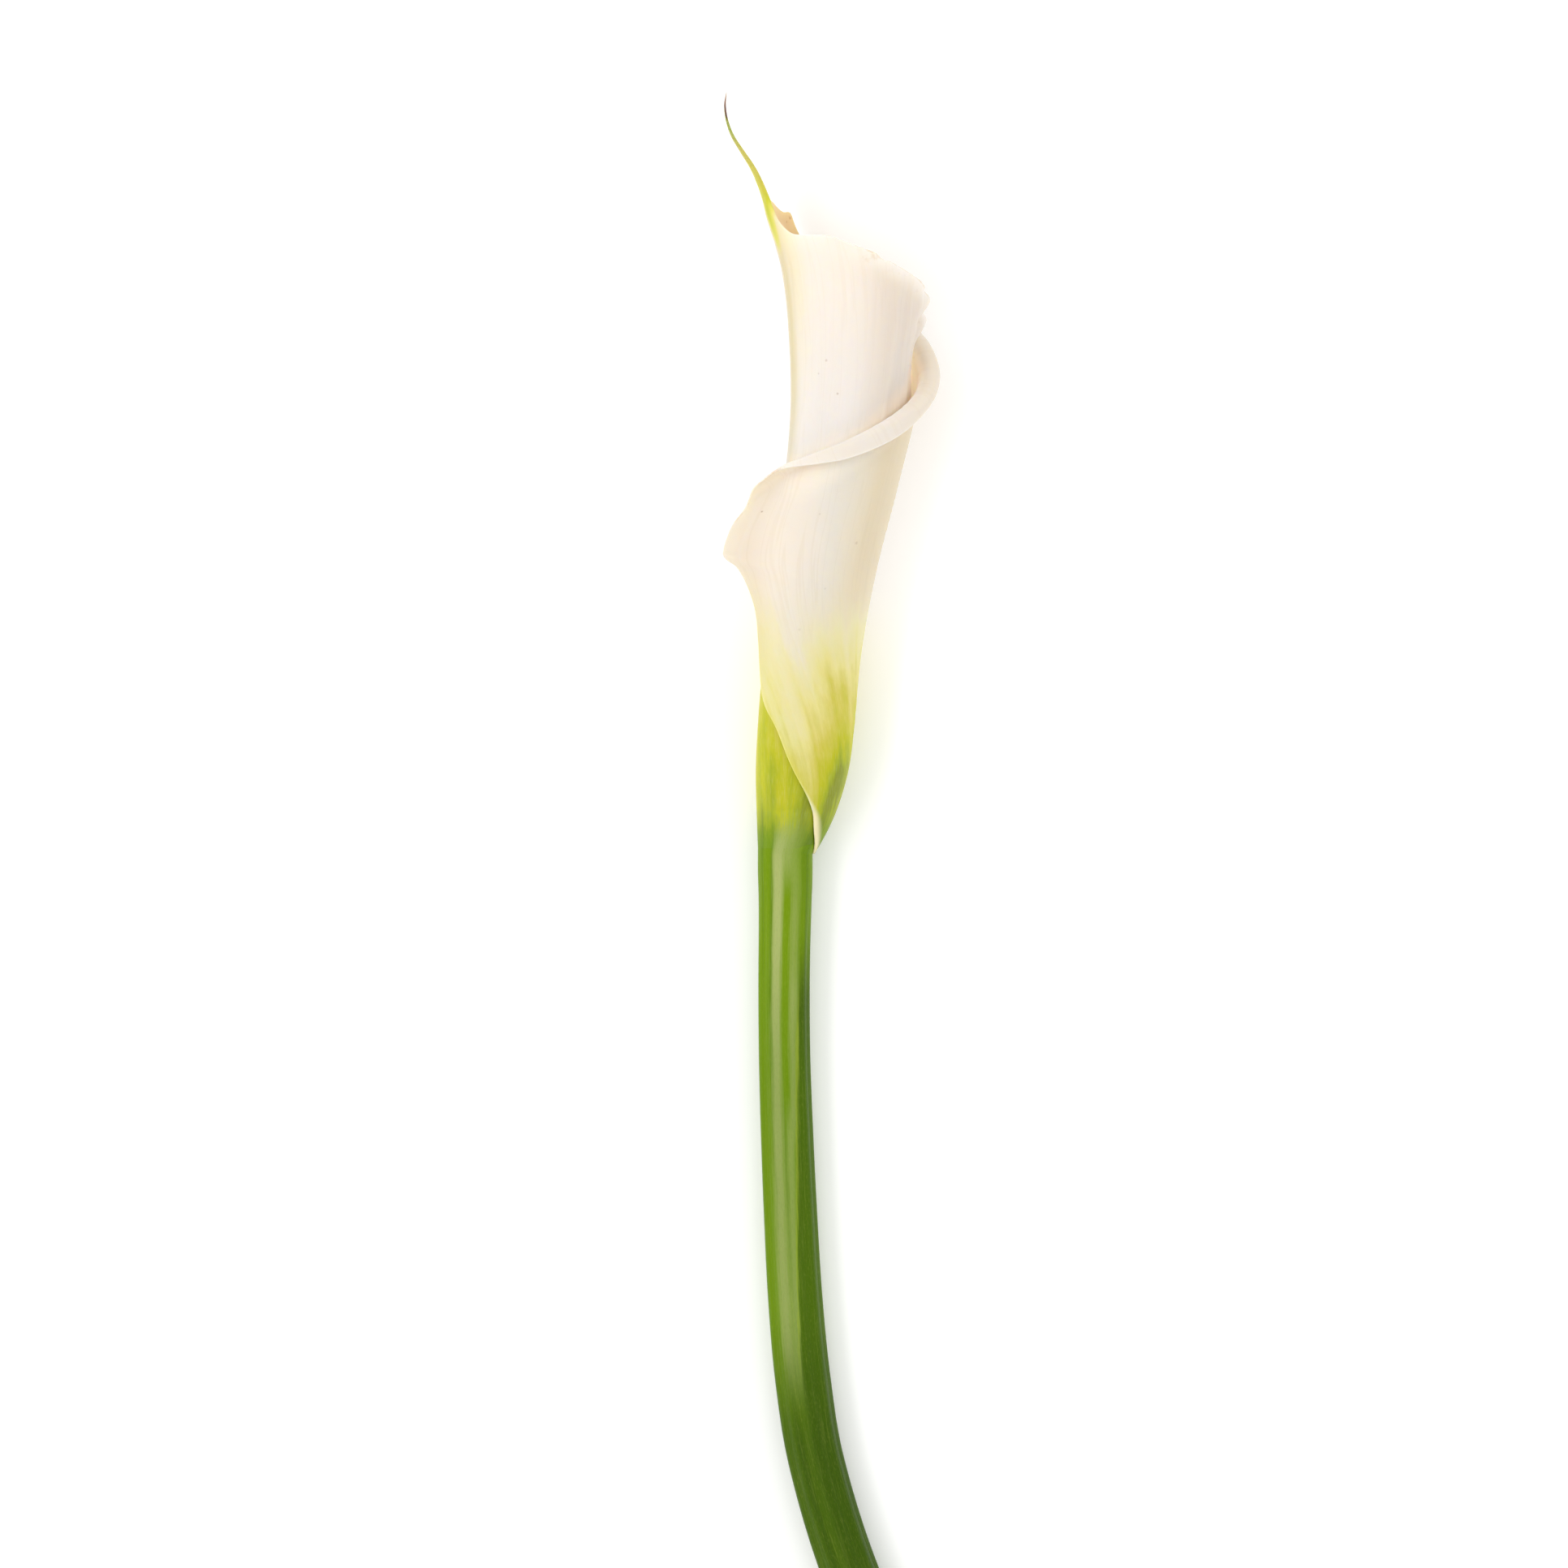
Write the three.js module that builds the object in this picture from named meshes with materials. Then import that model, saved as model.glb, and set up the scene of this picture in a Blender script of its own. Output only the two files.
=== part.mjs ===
// A cut white calla lily, lying on a surface: a stem, and on its top one large rolled leaf, the spathe,
// round a yellow spike of tiny flowers, the spadix.
//
// Millimetres. X runs to the right and Y from the stem to the flower's tip. Z is up, and the surface that the
// flower lies on is z = 0. While it is built, y = 0 is the spathe's foot, where it grows from the stem.
import * as THREE from "three";

const { degToRad, clamp, lerp, smoothstep } = THREE.MathUtils;

// ---- Driving dimensions ---------------------------------------------------------------------------------

const STEM_TOP_RADIUS = 5.5;
const STEM_RIBS = 9; // blunt ribs that run along the stem
const STEM_RIB_DEPTH = 0.16;
const STEM_RIBS_FADE = 20; // they fade out this far below the spathe
const STEM_CUT_DEG = 30; // slant of the cut end
const CORE_RADIUS = 3.5; // the stem's stub inside the spathe's foot, which carries the spadix
const CORE_TAPER = 0.3;
const CORE_HEIGHT = 7;
const SEAT_GAP = 0.3; // between two pieces, where one sits on the other

const BLADE = 0.9; // thickness of the spathe
const LAYER_PITCH = 1.5; // how far the roll moves out in one turn
const MIDRIB_DEG = 165; // where the midrib lies round the roll: 0 is +X and 90 is up
const RIM = 2.5; // width of a rim that is not folded
const FOLD_BEND = 3.8; // how much of a folded rim is the bend itself
const FLARE_START = 0.72; // share of the way to an edge where it starts to flare
const CRINKLE_SPACING = 7.5; // along the midrib, from one crest of the inner edge's crinkles to the next
const TAIL_ROOT = 125; // height where the blade has run out into the tail
const TAIL_TIP = 149.5;
const TAIL_THICKNESS = 1.15;
const TAIL_TIP_THICKNESS = 0.6;
const MIDRIB_HALF_WIDTH = 2; // of the thicker midrib below the tail
const MIDRIB_SWELLS = 20; // it starts to thicken this far below the tail

const SPADIX_RADIUS = 3.3;
const SPADIX_TIP_SHARE = 0.78; // of that radius, before the end rounds off
const SPADIX_TOP = 62;
const SPADIX_ROUND_FROM = 0.86; // share of its length where the end starts to round off
const FLORET_RELIEF = 0.35;

// ---- How finely the surfaces are drawn ------------------------------------------------------------------

const ROW_STEPS = [[0, 3], [81, 1.5], [132, 2.5]]; // from each height on, the spacing of the spathe's rows
const INNER_COLUMNS = 10; // evenly from the midrib to where the rim starts
const OUTER_COLUMNS = 16;
const INNER_RIM_COLUMNS = [0.4, 0.75, 0.93, 1]; // then these shares of the rim's width
const OUTER_RIM_COLUMNS = [0.1, 0.2, 0.3, 0.4, 0.6, 0.8, 0.94, 1];
const STEM_RINGS = 40;
const STEM_SIDES = 36;
const SPADIX_RINGS = 44;
const SPADIX_SIDES = 20;

// ---- Shapes placed by hand ------------------------------------------------------------------------------

// Height, then the midrib's x and z and the radius of the roll. The midrib bows left and ends in the tail.
const MIDRIB = [
  [0, -4.9, 8.8, 5.0],
  [8, -5.1, 10.4, 7.0],
  [16, -5.2, 11.8, 8.3],
  [24, -4.85, 12.3, 8.7],
  [40, -3.5, 13.1, 8.8],
  [56, -1.7, 13.9, 9.4],
  [72, 0.4, 15.0, 10.4],
  [88, 1.8, 16.1, 11.6],
  [104, 1.4, 17.0, 12.7],
  [114, 0.3, 17.4, 13.3],
  [120, -1.2, 17.4, 13.6],
  [125, -2.8, 17.0, 13.7],
  [129, -3.9, 16.7, 13.7],
  [132, -5.0, 16.5, 13.7],
  [135, -6.5, 16.4, 13.7],
  [138, -8.5, 16.6, 13.7],
  [141, -10.4, 16.9, 13.7],
  [144, -11.5, 17.3, 13.7],
  [147, -11.9, 17.8, 13.7],
  [149.5, -11.6, 18.2, 13.7],
];

// The spathe's two halves leave the midrib on either side and roll round each other. A row of either table is
// a height on the midrib, then how many degrees round the roll that row ends, and at what height.
const INNER_EDGE = [
  [0, 130, 0],
  [9, 155, 13],
  [19, 185, 28],
  [33, 220, 48],
  [49, 233, 72],
  [64, 222, 87],
  [75, 203, 96],
  [82, 184, 102.5],
  [91, 163, 109.6],
  [96, 134, 112.8],
  [99, 123, 114],
  [104, 108, 115.8],
  [108, 84, 118.4],
  [112, 61, 120.6],
  [115, 45, 120.9],
  [118, 27, 121.3],
  [120, 18, 122.6],
  [122, 11, 124.6],
  [124, 8, 126.5],
  [126, 6, 128],
  [129, 4, 129.8],
  [132, 3, 132],
  [140, 2.3, 140],
  [149.5, 1.4, 149.5],
];
const OUTER_EDGE = [
  [0, 205, 0],
  [2, 240, 4],
  [4, 258, 8.3],
  [9, 293, 16.3],
  [14, 318, 24.5],
  [19, 341, 31],
  [24, 350, 42],
  [29, 352, 48],
  [33, 356, 53],
  [36, 362, 56.5],
  [39, 366, 59],
  [42, 363, 63.5],
  [44, 359, 66.8],
  [46, 354, 69.5],
  [48, 347, 71.5],
  [51, 336, 73.8],
  [54, 325, 75.2],
  [58, 308, 76.9],
  [64, 285.5, 79.2],
  [73, 249, 84.2],
  [82, 218.5, 89.4],
  [91, 192, 95.2],
  [95, 176, 99.3],
  [99, 148, 104.6],
  [103, 118, 110.8],
  [107, 92, 118],
  [113.5, 69, 122.5],
  [115.5, 66.5, 124.8],
  [117, 65, 127.2],
  [118.5, 57, 127.2],
  [120, 51, 127.9],
  [121.5, 45, 129],
  [123, 36, 129.9],
  [124.5, 26, 130.2],
  [126, 15, 130.3],
  [129, 4.2, 130.6],
  [132, 3, 132],
  [140, 2.3, 140],
  [149.5, 1.4, 149.5],
];

// Height on the midrib, then how far the inner edge flares from the roll and how deep its crinkles are.
const INNER_RIM = [
  [0, 0, 0],
  [75, 0, 0],
  [82, 1.2, 0.3],
  [91, 2, 0.4],
  [96, 1.7, 0.5],
  [104, 0.8, 0.4],
  [112, 0.2, 0.2],
  [118, 0, 0],
  [149.5, 0, 0],
];

// Height on the midrib, then how far the outer edge flares from the roll, how many degrees the rim past it
// folds outward, and how wide that fold is.
const OUTER_RIM = [
  [0, 0, 0, 2.5],
  [14, 0, 0, 2.5],
  [19, 0.4, 0, 2.5],
  [24, 1.4, 0, 2.5],
  [29, 2.6, 0, 2.5],
  [33, 4.6, 0, 2.5],
  [36, 6.6, 0, 2.5],
  [39, 9.4, 0, 2.5],
  [42, 8.6, 10, 2.5],
  [44, 6.8, 40, 2.5],
  [46, 4.6, 80, 2.8],
  [48, 2.9, 115, 3.2],
  [51, 1.8, 145, 3.8],
  [54, 1.1, 160, 4.2],
  [58, 0.6, 172, 4.9],
  [64, 0.3, 178, 5.7],
  [73, 0.3, 178, 6.5],
  [82, 0.4, 175, 5.9],
  [91, 0.7, 160, 5.5],
  [95, 0.8, 135, 4.6],
  [99, 0.9, 90, 3.4],
  [103, 0.8, 50, 2.8],
  [107, 0.5, 20, 2.5],
  [114, 0, 0, 2.5],
  [149.5, 0, 0, 2.5],
];

// The stem's middle line from its cut end up to the spathe: y, then x, z and radius.
const STEM = [
  [-190, 32.5, 5.7, 5.8],
  [-165, 22.4, 5.7, 5.8],
  [-141, 12.2, 5.7, 5.7],
  [-120, 5.9, 5.6, 5.6],
  [-104, 3.3, 5.5, 5.6],
  [-88, 1.8, 5.4, 5.5],
  [-72, 0.9, 5.4, 5.4],
  [-56, 0.2, 5.5, 5.3],
  [-40, -0.3, 5.8, 5.2],
  [-24, -0.4, 6.3, 5.2],
  [-8, -0.1, 7.0, 5.3],
  [0, 0, 7.5, STEM_TOP_RADIUS],
];

// ---- Building blocks ------------------------------------------------------------------------------------

const UP = new THREE.Vector3(0, 0, 1);
const LEFT = new THREE.Vector3(-1, 0, 0);
const AHEAD = new THREE.Vector3(0, 1, 0);

// A smooth curve through rows of [key, value, value, ...]: gives the values at any key between the ends.
function through(rows) {
  const slope = (i, k) => {
    const before = rows[Math.max(i - 1, 0)];
    const after = rows[Math.min(i + 1, rows.length - 1)];
    return (after[k] - before[k]) / (after[0] - before[0]);
  };
  return (key) => {
    const next = rows.findIndex((row) => row[0] >= key);
    const i = Math.max(next < 0 ? rows.length - 2 : next - 1, 0);
    const [a, b] = [rows[i], rows[i + 1]];
    const span = b[0] - a[0];
    const t = clamp((key - a[0]) / span, 0, 1);
    return a.slice(1).map((_, n) => {
      const k = n + 1;
      const fromA = (1 + 2 * t) * a[k] + t * span * slope(i, k);
      const fromB = (3 - 2 * t) * b[k] - (1 - t) * span * slope(i + 1, k);
      return (1 - t) ** 2 * fromA + t ** 2 * fromB;
    });
  };
}

// The faces are a flat list of places in the list of points, three to a triangle.
function solid(points, faces) {
  return new THREE.BufferGeometry().setFromPoints(points).setIndex(faces);
}

function ring(middle, right, up, sides, radiusAt) {
  return Array.from({ length: sides }, (_, j) => {
    const angle = (2 * Math.PI * j) / sides;
    const radius = radiusAt(angle, j);
    return middle.clone()
      .addScaledVector(right, radius * Math.cos(angle))
      .addScaledVector(up, radius * Math.sin(angle));
  });
}

// A closed solid from rings with the same number of points, with a fan of faces over either end.
function loft(rings) {
  const n = rings[0].length;
  const points = rings.flat();
  const faces = [];
  for (let i = 0; i < rings.length - 1; i++) {
    for (let j = 0; j < n; j++) {
      const [a, b] = [i * n + j, i * n + ((j + 1) % n)];
      faces.push(a, b, b + n, a, b + n, a + n);
    }
  }
  for (const [start, flip] of [[0, true], [(rings.length - 1) * n, false]]) {
    const middle = points.length;
    const sum = points.slice(start, start + n).reduce((s, p) => s.add(p), new THREE.Vector3());
    points.push(sum.divideScalar(n));
    for (let j = 0; j < n; j++) {
      const [a, b] = [start + j, start + ((j + 1) % n)];
      faces.push(middle, ...(flip ? [b, a] : [a, b]));
    }
  }
  return solid(points, faces);
}

function piece(name, geometry, color, roughness) {
  geometry.computeVertexNormals();
  const mesh = new THREE.Mesh(geometry, new THREE.MeshStandardMaterial({ color, roughness, metalness: 0 }));
  mesh.name = name;
  return mesh;
}

// ---- The roll that the spathe follows -------------------------------------------------------------------

const midrib = through(MIDRIB);

// Straight out from the roll's middle, at so many degrees round from the midrib.
function outward(turn) {
  const angle = degToRad(MIDRIB_DEG + turn);
  return new THREE.Vector3(Math.cos(angle), 0, Math.sin(angle));
}

function rollMiddle(height) {
  const [x, z, radius] = midrib(height);
  return new THREE.Vector3(x, height, z).addScaledVector(outward(0), -radius);
}

// A point on the roll, which is a spiral that moves out as it turns.
function onRoll(turn, height, flare) {
  const radius = midrib(height)[2] + (LAYER_PITCH * turn) / 360 + flare;
  return rollMiddle(height).addScaledVector(outward(turn), radius);
}

// ---- Spathe: one half -----------------------------------------------------------------------------------

// A half of the spathe, as a part of the roll. A point on it is named by its row, which is the height on the
// midrib that the row starts from, and its share of the way to the row's end.
function halfOfSpathe({ edge, side, flareAt, foldAt }) {
  const at = (row, share) => {
    const [turn, top] = edge(row);
    const bend = Math.max((share - FLARE_START) / (1 - FLARE_START), 0) ** 2;
    return onRoll(side * turn * share, lerp(row, top, share), flareAt(row) * bend);
  };
  const width = (row) => {
    const [turn, top] = edge(row);
    return Math.hypot(degToRad(turn) * midrib(row)[2], top - row);
  };
  return { at, width, foldAt };
}

const innerRim = through(INNER_RIM);
const outerRim = through(OUTER_RIM);

const innerHalf = halfOfSpathe({
  edge: through(INNER_EDGE),
  side: -1,
  flareAt: (row) => {
    const [flare, crinkle] = innerRim(row);
    return flare + crinkle * Math.sin((2 * Math.PI * row) / CRINKLE_SPACING);
  },
  foldAt: () => [0, RIM],
});
const outerHalf = halfOfSpathe({
  edge: through(OUTER_EDGE),
  side: 1,
  flareAt: (row) => outerRim(row)[0],
  foldAt: (row) => outerRim(row).slice(1),
});

// A point of a half, by its share of the way from the midrib to the rim, then by its share of the rim. A flat
// rim is the last of the row. A folded one is added past the row's end: round the bend, then straight on.
function onHalf(half, row, body, rim) {
  const [foldDeg, foldWidth] = half.foldAt(row);
  const folded = smoothstep(foldDeg, 0, 90);
  const width = half.width(row);
  const flatRim = Math.min(RIM / width, 0.6) * (1 - folded);
  const start = half.at(row, 1 - flatRim);
  const rimWidth = lerp(start.distanceTo(half.at(row, 1)), foldWidth, folded);
  if (rim === 0 || folded === 0) {
    const share = body * (1 - flatRim) + rim * flatRim;
    const toEdge = rim === 0 ? (1 - flatRim - share) * width + rimWidth : (1 - rim) * rimWidth;
    return { point: half.at(row, share), toEdge, toMidrib: share * width };
  }

  const ahead = half.at(row, 1.01).sub(start).normalize();
  const foldLine = half.at(row + 1, 1 - flatRim).sub(half.at(row - 1, 1 - flatRim)).normalize();
  const out = new THREE.Vector3().crossVectors(foldLine, ahead).normalize();
  const square = new THREE.Vector3().crossVectors(out, foldLine);
  const along = ahead.lerp(square, folded).normalize(); // a full fold is square to its line
  const bend = Math.min(FOLD_BEND, rimWidth);
  const radius = bend / degToRad(foldDeg);
  const gone = rim * rimWidth;
  const angle = Math.min(gone, bend) / radius;
  const straight = Math.max(gone - bend, 0);
  start
    .addScaledVector(along, radius * Math.sin(angle) + straight * Math.cos(angle))
    .addScaledVector(out, radius * (1 - Math.cos(angle)) + straight * Math.sin(angle));
  return { point: start, toEdge: rimWidth - gone, toMidrib: width };
}

// Even over the blade, rounded off at its edges, and thicker along the midrib where that becomes the tail.
function thicknessAt(row, width, toEdge, toMidrib) {
  const swell = smoothstep(row, TAIL_ROOT - MIDRIB_SWELLS, TAIL_ROOT);
  const rib = swell * Math.exp(-((toMidrib / MIDRIB_HALF_WIDTH) ** 2));
  const tail = lerp(TAIL_THICKNESS, TAIL_TIP_THICKNESS, smoothstep(row, TAIL_ROOT, TAIL_TIP));
  const beyond = clamp(1 - toEdge / Math.min(width, BLADE), 0, 1);
  return lerp(BLADE, tail, rib) * Math.sqrt(1 - beyond ** 2);
}

// ---- Spathe: the whole ----------------------------------------------------------------------------------

function columnsOf(half, bodyCount, rimShares) {
  const body = Array.from({ length: bodyCount }, (_, j) => ({ half, body: (j + 1) / bodyCount, rim: 0 }));
  return [...body, ...rimShares.map((rim) => ({ half, body: 1, rim }))];
}

function rowHeights() {
  const heights = [];
  for (let row = 0; row < TAIL_TIP; row += ROW_STEPS.findLast(([from]) => row >= from)[1]) heights.push(row);
  return [...heights, TAIL_TIP];
}

// Both faces of the blade have the same triangles, at half its thickness to either side of its middle. They
// share the points along both edges, and a strip closes the first row and the last.
function spatheGeometry() {
  const columns = [
    ...columnsOf(innerHalf, INNER_COLUMNS, INNER_RIM_COLUMNS).reverse(),
    { half: outerHalf, body: 0, rim: 0 },
    ...columnsOf(outerHalf, OUTER_COLUMNS, OUTER_RIM_COLUMNS),
  ];
  const rows = rowHeights();
  const across = columns.length;
  const middle = [];
  const depth = [];
  for (const row of rows) {
    for (const { half, body, rim } of columns) {
      const { point, toEdge, toMidrib } = onHalf(half, row, body, rim);
      point.z = Math.max(point.z, BLADE / 2); // it lies flat where it meets the surface
      middle.push(point);
      depth.push(thicknessAt(row, half.width(row), toEdge, toMidrib) / 2);
    }
  }

  const sheet = [];
  for (let i = 0; i < rows.length - 1; i++) {
    for (let j = 0; j < across - 1; j++) {
      const a = i * across + j;
      sheet.push([a, a + 1, a + across + 1], [a, a + across + 1, a + across]);
    }
  }
  const guide = solid(middle, sheet.flat());
  guide.computeVertexNormals();
  const out = new THREE.Vector3();
  const face = (side) => middle.map((point, i) =>
    point.clone().addScaledVector(out.fromBufferAttribute(guide.attributes.normal, i), side * depth[i]));

  const points = [...face(1), ...face(-1)];
  const isEdge = (i) => i % across === 0 || i % across === across - 1;
  const under = (i) => (isEdge(i) ? i : i + middle.length);
  const faces = sheet.flatMap(([a, b, c]) => [[a, b, c], [under(a), under(c), under(b)]]);
  const last = (rows.length - 1) * across;
  for (let j = 0; j < across - 1; j++) {
    for (const [a, b] of [[j, j + 1], [last + j + 1, last + j]]) {
      faces.push([a, under(a), under(b)], [a, under(b), b]);
    }
  }
  const isWhole = ([a, b, c]) => a !== b && b !== c && c !== a;
  return solid(points, faces.filter(isWhole).flat());
}

// ---- Spadix ---------------------------------------------------------------------------------------------

// Every other point stands out, in staggered rows, for the florets that cover it.
function spadixGeometry() {
  const rings = [];
  for (let i = 0; i < SPADIX_RINGS; i++) {
    const share = i / (SPADIX_RINGS - 1);
    const pastRound = Math.max(share - SPADIX_ROUND_FROM, 0) / (1.005 - SPADIX_ROUND_FROM);
    const taper = lerp(1, SPADIX_TIP_SHARE, share) * Math.sqrt(1 - pastRound ** 2);
    const middle = rollMiddle(lerp(CORE_HEIGHT + SEAT_GAP, SPADIX_TOP, share));
    rings.push(ring(middle, LEFT, UP, SPADIX_SIDES, (_, j) => {
      const floret = i > 0 && (i + j) % 2 === 0 ? FLORET_RELIEF : 0;
      return (SPADIX_RADIUS - FLORET_RELIEF + floret) * taper;
    }));
  }
  return loft(rings);
}

// ---- Stem -----------------------------------------------------------------------------------------------

const stemLine = through(STEM);

function stemPoint(y) {
  const [x, z] = stemLine(y);
  return new THREE.Vector3(x, y, z);
}

function stemRing(y, cutSlope) {
  const along = stemPoint(Math.min(y + 1, 0)).sub(stemPoint(y - 1)).normalize();
  along.lerp(AHEAD, smoothstep(y, -12, -1)).normalize(); // its top is square to Y, under the spathe
  const right = new THREE.Vector3().crossVectors(UP, along).normalize();
  const up = new THREE.Vector3().crossVectors(along, right);
  const middle = stemPoint(y);
  const ribs = STEM_RIB_DEPTH * smoothstep(-y, 0, STEM_RIBS_FADE);
  const radiusAt = (angle) => stemLine(y)[2] - ribs * (1 - Math.cos(STEM_RIBS * angle));
  return ring(middle, right, up, STEM_SIDES, radiusAt).map((point) => {
    point.addScaledVector(along, cutSlope * point.clone().sub(middle).dot(up));
    point.z = Math.max(point.z, 0); // it lies flat where it meets the surface
    return point;
  });
}

function stemGeometry() {
  const rings = [];
  for (let i = 0; i < STEM_RINGS; i++) {
    const y = lerp(STEM[0][0], -SEAT_GAP, i / (STEM_RINGS - 1));
    rings.push(stemRing(y, i === 0 ? Math.tan(degToRad(STEM_CUT_DEG)) : 0));
  }
  for (const [y, radius] of [[-SEAT_GAP, CORE_RADIUS], [CORE_HEIGHT, CORE_RADIUS - CORE_TAPER]]) {
    rings.push(ring(rollMiddle(Math.max(y, 0)).setY(y), LEFT, UP, STEM_SIDES, () => radius));
  }
  return loft(rings);
}

// ---- The flower -----------------------------------------------------------------------------------------

const flower = new THREE.Group();
flower.add(
  piece("spathe", spatheGeometry(), 0xf4efe2, 0.5),
  piece("spadix", spadixGeometry(), 0xe9c63c, 0.7),
  piece("stem", stemGeometry(), 0x5c9632, 0.4),
);

// The origin is on the surface, under the middle of the flower's box.
const box = new THREE.Box3().setFromObject(flower);
flower.position.set(-(box.min.x + box.max.x) / 2, -(box.min.y + box.max.y) / 2, -box.min.z);

export default flower;
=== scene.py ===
"""The looks of a cut white calla lily that lies on a pale floor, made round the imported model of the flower.

Lengths are millimetres, as on the flower: x to the right, y from the spathe's foot towards its tip and z up
from the floor. place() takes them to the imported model's own frame, in metres.
"""

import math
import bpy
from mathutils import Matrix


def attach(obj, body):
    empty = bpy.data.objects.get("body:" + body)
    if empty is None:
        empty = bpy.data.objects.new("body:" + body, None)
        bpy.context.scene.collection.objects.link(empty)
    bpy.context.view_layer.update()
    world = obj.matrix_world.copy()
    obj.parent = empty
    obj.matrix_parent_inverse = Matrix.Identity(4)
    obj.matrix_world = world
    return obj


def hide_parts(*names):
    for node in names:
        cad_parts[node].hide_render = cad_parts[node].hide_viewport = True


bl_info = {
    "name": "Calla Lily",
    "version": (1, 0, 0),
    "blender": (4, 5, 0),
    "location": "View3D > Sidebar > Flower",
    "description": "Builds a cut calla lily with its spathe, spadix and stem, and a floor to lie on",
    "category": "Object",
}

import bpy
import numpy as np

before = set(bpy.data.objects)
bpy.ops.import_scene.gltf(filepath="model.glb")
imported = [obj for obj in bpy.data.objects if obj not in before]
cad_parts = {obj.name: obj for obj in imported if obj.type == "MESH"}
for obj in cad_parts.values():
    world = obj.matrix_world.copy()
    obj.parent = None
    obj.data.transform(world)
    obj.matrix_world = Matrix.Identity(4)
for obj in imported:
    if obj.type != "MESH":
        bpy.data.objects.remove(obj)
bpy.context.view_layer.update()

FOOT_IN_MODEL = np.array([-12.85, 21.96, 0.0])  # the middle of the spathe's foot, from the model's own origin
STEM_END = -190.0
TAIL_TIP = 149.5

# ---- The flower's shape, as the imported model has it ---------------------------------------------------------

BLADE_PITCH = 1.5  # how far the roll moves out in one turn
FOOT_PITCH = 0.1  # and that share of it at the very foot, where the inner layer hugs the stem
HUG_TOP = 26.0  # the height where the layers are their full distance apart
SKIN_RADIUS = 5.5  # the stem's patterns are made as if it were a straight rod of this radius
ROLL_RADIUS = 12  # near enough all over the roll, to turn degrees round it into millimetres
MM_PER_DEGREE = math.radians(1) * ROLL_RADIUS
MIDRIB_DEG = 165.0  # where the midrib lies round the roll: 0 is +x and 90 is up
RIM = 2.5  # width of a rim that is not folded
TUCK = 0.8  # how far the inner half draws in above the lip
PRESS = 0.68  # how far it spreads under the lip, until it lies against the outer half
FOLD_DEPTH = 0.16
RIDGE_DEPTH = 0.03
RIPPLE_LEAN = 0.35  # degrees that folds and ridges lean round the roll with each millimetre up
STREAK_LENGTH = 55.0  # of the streaks in the petal
FLARE_START = 0.72  # share of the way to an edge where it starts to flare
TAIL_ROOT = 125.0
DENSE_TOP = 9.0  # up to here the foot is dense and green, like the stem

# Height, then the midrib's x and z and the radius of the roll.
MIDRIB = [
    (0, -4.9, 8.8, 5.0),
    (8, -5.1, 10.4, 7.0),
    (16, -5.2, 11.8, 8.3),
    (24, -4.85, 12.3, 8.7),
    (40, -3.5, 13.1, 8.8),
    (56, -1.7, 13.9, 9.4),
    (72, 0.4, 15.0, 10.4),
    (88, 1.8, 16.1, 11.6),
    (104, 1.4, 17.0, 12.7),
    (114, 0.3, 17.4, 13.3),
    (120, -1.2, 17.4, 13.6),
    (125, -2.8, 17.0, 13.7),
    (129, -3.9, 16.7, 13.7),
    (132, -5.0, 16.5, 13.7),
    (135, -6.5, 16.4, 13.7),
    (138, -8.5, 16.6, 13.7),
    (141, -10.4, 16.9, 13.7),
    (144, -11.5, 17.3, 13.7),
    (147, -11.9, 17.8, 13.7),
    (149.5, -11.6, 18.2, 13.7),
]

# Height of a row on the midrib, then how many degrees round the roll it ends, and at what height.
INNER_EDGE = [
    (0, 165, 0),
    (9, 168, 13),
    (19, 185, 28),
    (33, 220, 48),
    (49, 233, 72),
    (64, 222, 87),
    (75, 203, 96),
    (82, 184, 102.5),
    (91, 163, 109.6),
    (96, 134, 112.8),
    (99, 123, 114),
    (104, 108, 115.7),
    (105.3, 101, 116.1),
    (106, 97, 117.1),
    (108, 84, 118.4),
    (112, 61, 120.6),
    (115, 45, 120.9),
    (118, 27, 121.3),
    (120, 18, 122.6),
    (122, 11, 124.6),
    (124, 8, 126.5),
    (126, 6, 128),
    (129, 4, 129.8),
    (132, 3, 132),
    (140, 2.3, 140),
    (144.5, 1.5, 144.5),
    (148, 0.9, 148),
    (149.5, 0.3, 149.5),
]
OUTER_EDGE = [
    (0, 205, 0),
    (2, 240, 4),
    (4, 258, 8.3),
    (9, 293, 16.3),
    (14, 318, 24.5),
    (19, 341, 31),
    (24, 350, 42),
    (29, 352, 48),
    (33, 356, 53),
    (36, 362, 56.5),
    (39, 366, 59),
    (42, 363, 63.5),
    (44, 359, 66.8),
    (46, 354, 69.5),
    (48, 347, 71.5),
    (51, 336, 73.8),
    (54, 325, 75.2),
    (58, 308, 76.9),
    (64, 285.5, 79.2),
    (73, 249, 84.2),
    (82, 214, 89.4),
    (91, 180, 95.4),
    (95, 162, 99.6),
    (99, 136, 104.9),
    (103, 111, 110.9),
    (107, 90, 118),
    (113.5, 69, 122.5),
    (115.5, 66.5, 124.8),
    (117, 65, 127.2),
    (118.5, 57, 127.2),
    (120, 51, 127.9),
    (121.5, 45, 129),
    (123, 36, 129.7),
    (124.5, 24, 130.2),
    (126, 13, 131.2),
    (127.5, 8, 132.2),
    (129, 5.6, 133.0),
    (132, 3.8, 134.2),
    (136, 2.9, 136.9),
    (140, 2.3, 140),
    (144.5, 1.5, 144.5),
    (148, 0.9, 148),
    (149.5, 0.3, 149.5),
]

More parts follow.
